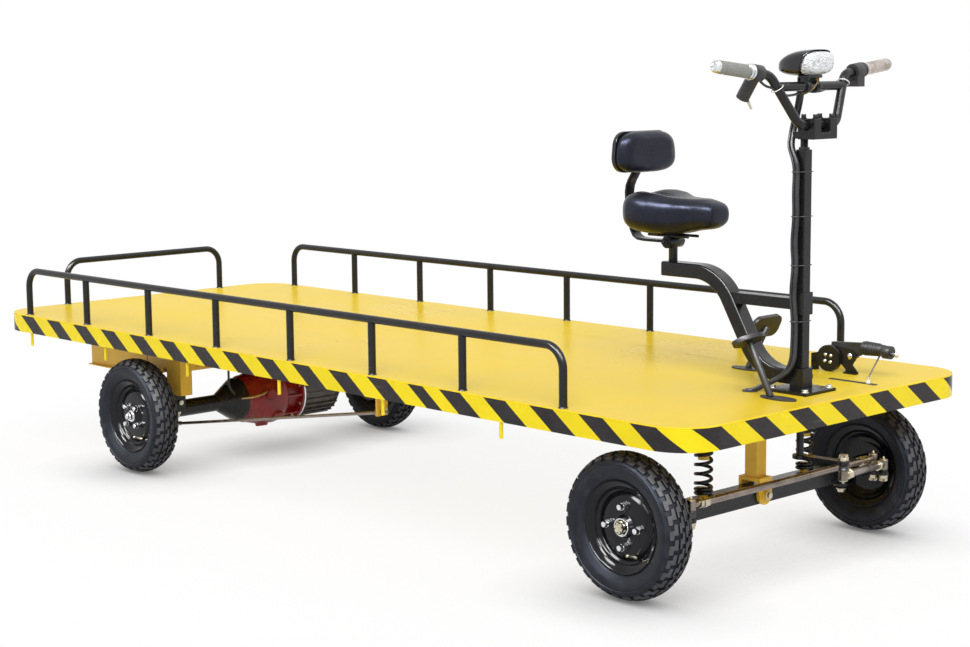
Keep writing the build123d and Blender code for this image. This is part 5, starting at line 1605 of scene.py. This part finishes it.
class CART_OT_drive(bpy.types.Operator):
    """Fittings of the gearbox, the axle's clamp bolts and the brake rod's nut"""
    bl_idname = "cart.drive"
    bl_label = "Rear drive"

    def execute(self, context):
        make_gearbox_fittings()
        make_axle_clamps()
        nut = bmesh.new()
        hexagon(nut, BRAKE_ROD_NUT, X, 0.0110, 0.010)
        to_object("brake_rod_nut", nut, "zinc", "chassis")
        return {"FINISHED"}


# Floor controls

FOOT, FOOT_BOLT = Vector((1.455, 0.025, 0.4881)), 0.052
SET_SCREW = Vector((1.455, 0.0461, 0.515))
SET_SCREW_BODY = ((0.0, 0.0), (0.0, 0.009), (0.010, 0.009), (0.010, 0.0))
DRUM_X, DRUM_Z, RIVET_CIRCLE = 1.318, 0.517, 0.013
RIVET_ANGLES = (40, 130, 220, 310)
RIVET = ((0.0, 0.0), (0.0, 0.0052), (0.0012, 0.0050), (0.0026, 0.0036), (0.0030, 0.0))
LEVER_PIVOT = Vector((1.384, 0.339, 0.528))
PIVOT_HEAD = ((0.0, 0.0), (0.0, 0.0085), (0.0015, 0.0085), (0.0030, 0.0066), (0.0042, 0.0034), (0.0045, 0.0))
GRIP_RIBS, GRIP_RIB_START, GRIP_RIB_PITCH, GRIP_RIB_Z = 6, 1.428, 0.008, 0.554
GRIP_RIB = (
    # along, radius beyond the lever's
    (0.0, -0.002), (0.0006, 0.0008), (0.0030, 0.0012), (0.0054, 0.0008), (0.006, -0.002),
)
BUTTON = (
    # along, radius
    (0.0, 0.0), (0.0, 0.0050), (0.003, 0.0050), (0.004, 0.0072), (0.008, 0.0086), (0.012, 0.0072),
    (0.0145, 0.0036), (0.015, 0.0),
)
BUTTON_Z = 0.546
PULL_ROD_END = ((0.0, 0.0), (0.0, 0.0056), (0.003, 0.0060), (0.010, 0.0050), (0.012, 0.0030), (0.012, 0.0))
PULL_ROD_FOOT = (1.5195, 0.234, 0.4802)
SLOT_BEAD = 0.0020
# Middle line of the rubber bead round the deck's slot
SLOT_ALONG = (1.3940, 1.3980, 1.44, 1.50, 1.5420, 1.5460)
SLOT_ACROSS = (0.2288, 0.2392)
PEDALS = (
    # name, middle of the pad, tilt, half length, half width
    ("right", Vector((1.392, -0.112, 0.618)), 31.0, 0.036, 0.054),
    ("left", Vector((1.157, 0.2605, 0.596)), 65.0, 0.033, 0.060),
)
PEDAL_RIBS, RIB_WIDTH, RIB_HEIGHT, RIB_LEVEL, RIB_REACH = 5, 0.0048, 0.003, 0.0125, 0.80


def make_foot_bolts():
    """Bolts of the column's foot and its set screw."""
    bolts = bmesh.new()
    for side_x in (-1, 1):
        for side_y in (-1, 1):
            spot = FOOT + Vector((side_x * FOOT_BOLT, side_y * FOOT_BOLT, 0.0))
            bolt_head(bolts, spot, Z, (0.0016, 0.002, 0.0105, 0.010), 0.0085, 0.006)
    to_object("foot_bolts", bolts, "chrome", "chassis")
    screw = bmesh.new()
    lathe(screw, SET_SCREW_BODY, SET_SCREW, Y, 20)
    hexagon(screw, SET_SCREW + Y * 0.010, Y, 0.0105, 0.009)
    to_object("foot_set_screw", screw, "black_paint", "chassis")


def make_handbrake_fittings():
    """Rivets, ribbed grip and button of the hand brake, and the foot of its pull rod in the deck's slot."""
    rivets = bmesh.new()
    drum = Vector((DRUM_X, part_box("handbrake_bracket")[0].y, DRUM_Z))
    for degrees in RIVET_ANGLES:
        lathe(rivets, RIVET, drum + spoke(degrees) * RIVET_CIRCLE, -Y, 20)
    lathe(rivets, PIVOT_HEAD, LEVER_PIVOT, -Y, 24)
    to_object("handbrake_rivets", rivets, "chrome", "chassis")
    centre_y = middle("handbrake_lever").y
    grip = bmesh.new()
    for index in range(GRIP_RIBS):
        radius = 0.0190 - 0.0004 * index
        spot = (GRIP_RIB_START + GRIP_RIB_PITCH * index, centre_y, GRIP_RIB_Z)
        lathe(grip, [(along, radius + more) for along, more in GRIP_RIB], spot, X, 32)
    to_object("handbrake_grip_ribs", grip, "black_plastic", "chassis")
    tip = (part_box("handbrake_lever")[1].x, centre_y, BUTTON_Z)
    turned("handbrake_button", BUTTON, tip, X, 28, "chrome", "chassis")
    turned("pull_rod_end", PULL_ROD_END, PULL_ROD_FOOT, Z, 20, "nylon", "chassis")
    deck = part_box("deck_plate")[1].z
    near, far = [[(along, across, deck) for along in SLOT_ALONG] for across in SLOT_ACROSS]
    cables("slot_bead", [near + far[::-1]], SLOT_BEAD, "boot_rubber", "chassis", True)


def make_pedal_ribs(name, spot, tilt, half_x, half_y):
    """Ribs across a pedal's pad, shorter towards the ends of the round one."""
    ribs = bmesh.new()
    turn = Matrix.Translation(spot) @ Matrix.Rotation(math.radians(-tilt), 4, "Y")
    for index in range(PEDAL_RIBS):
        along = (index - PEDAL_RIBS // 2) * half_x * 0.36
        reach = half_y * RIB_REACH
        if name == "right":
            reach *= math.sqrt(max(0.1, 1 - (along / half_x) ** 2))
        place = turn @ Matrix.Translation((along, 0.0, RIB_LEVEL))
        size = Matrix.Diagonal((RIB_WIDTH, 2 * reach, RIB_HEIGHT, 1.0))
        made = bmesh.ops.create_cube(ribs, size=1.0, matrix=place @ size)
        ease(ribs, made["verts"], 0.001)
    to_object(f"pedal_ribs_{name}", ribs, "black_plastic", "chassis")


class CART_OT_floor_controls(bpy.types.Operator):
    """Bolts of the column's foot, fittings of the hand brake, ribs on the pedal pads"""
    bl_idname = "cart.floor_controls"
    bl_label = "Floor controls"

    def execute(self, context):
        make_foot_bolts()
        make_handbrake_fittings()
        for pedal in PEDALS:
            make_pedal_ribs(*pedal)
        return {"FINISHED"}


# Trim

TUBE_RADIUS = 0.011
WELD = (
    # along, radius beyond the tube's
    (0.0, -0.001), (0.0, 0.0024), (0.0008, 0.0022), (0.0018, 0.0012), (0.0030, 0.0004), (0.0033, -0.001),
    (0.0, -0.001),
)
WELD_GAP = 0.0001
SIDE_POSTS = 8


class CART_OT_trim(bpy.types.Operator):
    """Fillets of weld at the feet of the rails"""
    bl_idname = "cart.trim"
    bl_label = "Trim"

    def execute(self, context):
        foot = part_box("deck_plate")[1].z + WELD_GAP
        low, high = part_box("side_rails")
        rear, front = low.x + TUBE_RADIUS, high.x - TUBE_RADIUS
        step = (front - rear) / (SIDE_POSTS - 1)
        feet = [(rear + step * index, side, foot)
                for side in (low.y + TUBE_RADIUS, high.y - TUBE_RADIUS) for index in range(SIDE_POSTS)]
        low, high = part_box("rear_rail")
        feet += [((low.x + high.x) / 2, side, foot) for side in (low.y + TUBE_RADIUS, high.y - TUBE_RADIUS)]
        fillet = [(along, TUBE_RADIUS + more) for along, more in WELD]
        welds = bmesh.new()
        for spot in feet:
            lathe(welds, fillet, spot, Z, 24)
        to_object("rail_welds", welds, "black_paint", "chassis")
        return {"FINISHED"}


# Stage

PHOTO_LENS = 69.85
EYE = Vector((4.4241, -3.9226, 1.3436))
EYE_TURN = (0.8132, 1.4326, -0.0092)
LAMPS = (
    # name, where it comes from, strength, spread, lights matt surfaces, shows in gloss
    ("key", (0.50, -0.62, 0.85), 1.85, 44.0, True, True),
    ("highlight", (0.35, -0.70, 1.00), 5.2, 24.0, False, True),
    ("highlight_rear", (-0.30, -0.90, 0.90), 4.3, 24.0, False, True),
    ("highlight_front", (0.90, -0.30, 0.90), 3.6, 24.0, False, True),
    ("fill", (0.30, 0.90, 0.80), 0.40, 60.0, True, True),
    ("low_fill", (0.75, -0.62, 0.20), 0.95, 50.0, True, False),
)
FLOOR_HALF, FLOOR_Z = 60.0, -0.0005
# Reach and darkest glow of the painted contact shadow on the floor
CONTACT_REACH = 0.27
CONTACT_LEAST = 0.15
GLOW_SHARE = 0.87
WORLD_LEVEL = 0.50


def add_camera():
    data = bpy.data.cameras.new("camera")
    data.lens = PHOTO_LENS
    data.sensor_width = 36.0
    data.clip_end = 200.0
    camera = place_object("camera", data)
    turn, tip, roll = EYE_TURN
    camera.matrix_world = (
        Matrix.Translation(EYE) @ Matrix.Rotation(turn, 4, "Z") @ Matrix.Rotation(tip, 4, "X")
        @ Matrix.Rotation(roll, 4, "Z"))
    bpy.context.scene.camera = camera


def add_sun(name, source, strength, spread, diffuse, glossy):
    """Broad, even light from a direction."""
    data = bpy.data.lights.new(name, "SUN")
    data.energy = strength
    data.angle = math.radians(spread)
    lamp = place_object(name, data)
    lamp.matrix_world = (-Vector(source)).to_track_quat("-Z", "Y").to_matrix().to_4x4()
    lamp.visible_diffuse = diffuse
    lamp.visible_glossy = glossy


def seen_directly(tree):
    """1 for rays from the camera and for mirror and glass rays, otherwise 0."""
    path = new_node(tree, "ShaderNodeLightPath")
    first = new_node(tree, "ShaderNodeMath", "MAXIMUM")
    both = new_node(tree, "ShaderNodeMath", "MAXIMUM")
    wire(
        tree,
        (path.outputs["Is Camera Ray"], first.inputs[0]),
        (path.outputs["Is Glossy Ray"], first.inputs[1]),
        (first.outputs[0], both.inputs[0]),
        (path.outputs["Is Transmission Ray"], both.inputs[1]))
    return both.outputs[0]


def floor_finish():
    """Matt white that glows to the eye; its glow dims where something stands close above it, a painted
    contact shadow.
    """
    paint = bpy.data.materials.new("floor_white")
    paint.use_nodes = True
    tree = paint.node_tree
    shader = tree.nodes["Principled BSDF"]
    shader.inputs["Base Color"].default_value = (0.95, 0.95, 0.95, 1.0)
    shader.inputs["Roughness"].default_value = 0.9
    shader.inputs["Specular IOR Level"].default_value = 0.0
    glow = new_node(tree, "ShaderNodeEmission")
    # Painted contact shadow: occlusion dims the floor's glow under and beside whatever stands close above
    # it.
    nearby = new_node(tree, "ShaderNodeAmbientOcclusion", Distance=CONTACT_REACH)
    nearby.samples = 8
    contact_shadow = new_node(tree, "ShaderNodeMapRange", **{"From Min": CONTACT_LEAST, "To Min": CONTACT_LEAST})
    share = new_node(tree, "ShaderNodeMath", "MULTIPLY")
    share.inputs[1].default_value = GLOW_SHARE
    mix = new_node(tree, "ShaderNodeMixShader")
    wire(
        tree,
        (nearby.outputs["AO"], contact_shadow.inputs["Value"]),
        (contact_shadow.outputs["Result"], glow.inputs["Strength"]),
        (seen_directly(tree), share.inputs[0]),
        (share.outputs[0], mix.inputs[0]),
        (shader.outputs[0], mix.inputs[1]),
        (glow.outputs[0], mix.inputs[2]),
        (mix.outputs[0], tree.nodes["Material Output"].inputs["Surface"]))
    return paint


def make_floor():
    bm = bmesh.new()
    bmesh.ops.create_grid(bm, x_segments=1, y_segments=1, size=FLOOR_HALF)
    mesh = bpy.data.meshes.new("floor")
    bm.to_mesh(mesh)
    bm.free()
    mesh.materials.append(floor_finish())
    floor = place_object("floor", mesh)
    floor.location.z = FLOOR_Z


def make_world(scene):
    """White surroundings, dimmer as a light than to the eye."""
    world = bpy.data.worlds.new("studio")
    scene.world = world
    world.use_nodes = True
    tree = world.node_tree
    back = tree.nodes["Background"]
    back.inputs["Color"].default_value = (1.0, 1.0, 1.0, 1.0)
    level = new_node(tree, "ShaderNodeMapRange", **{"To Min": WORLD_LEVEL, "To Max": 1.0})
    wire(
        tree,
        (seen_directly(tree), level.inputs["Value"]),
        (level.outputs["Result"], back.inputs["Strength"]))


class CART_OT_stage(bpy.types.Operator):
    """White floor and surroundings, soft lamps and the camera"""
    bl_idname = "cart.stage"
    bl_label = "Stage"

    def execute(self, context):
        context.scene.view_settings.view_transform = "Standard"
        make_floor()
        make_world(context.scene)
        for lamp in LAMPS:
            add_sun(*lamp)
        add_camera()
        return {"FINISHED"}


class CART_PT_panel(bpy.types.Panel):
    """Lists the cart's settings and steps"""
    bl_idname = "CART_PT_panel"
    bl_label = "Electric Platform Cart"
    bl_space_type = "VIEW_3D"
    bl_region_type = "UI"
    bl_category = "Cart"

    def draw(self, context):
        for settings in (context.scene.cart_colours, context.scene.cart_sizes):
            column = self.layout.column()
            for label in settings.__annotations__:
                column.prop(settings, label)
        for step in STEPS:
            self.layout.operator(step.bl_idname)


STEPS = (CART_OT_paint, CART_OT_wheels, CART_OT_seat, CART_OT_handlebar, CART_OT_wiring, CART_OT_linkage,
         CART_OT_drive, CART_OT_floor_controls, CART_OT_trim, CART_OT_stage)
CLASSES = (CartColours, CartSizes, *STEPS, CART_PT_panel)


def register():
    for item in CLASSES:
        bpy.utils.register_class(item)
    bpy.types.Scene.cart_colours = bpy.props.PointerProperty(type=CartColours)
    bpy.types.Scene.cart_sizes = bpy.props.PointerProperty(type=CartSizes)


def unregister():
    del bpy.types.Scene.cart_sizes
    del bpy.types.Scene.cart_colours
    for item in reversed(CLASSES):
        bpy.utils.unregister_class(item)


def main():
    register()
    bpy.ops.cart.paint()
    bpy.ops.cart.wheels()
    bpy.ops.cart.seat()
    bpy.ops.cart.handlebar()
    bpy.ops.cart.wiring()
    bpy.ops.cart.linkage()
    bpy.ops.cart.drive()
    bpy.ops.cart.floor_controls()
    bpy.ops.cart.trim()
    bpy.ops.cart.stage()


if __name__ == "__main__":
    main()
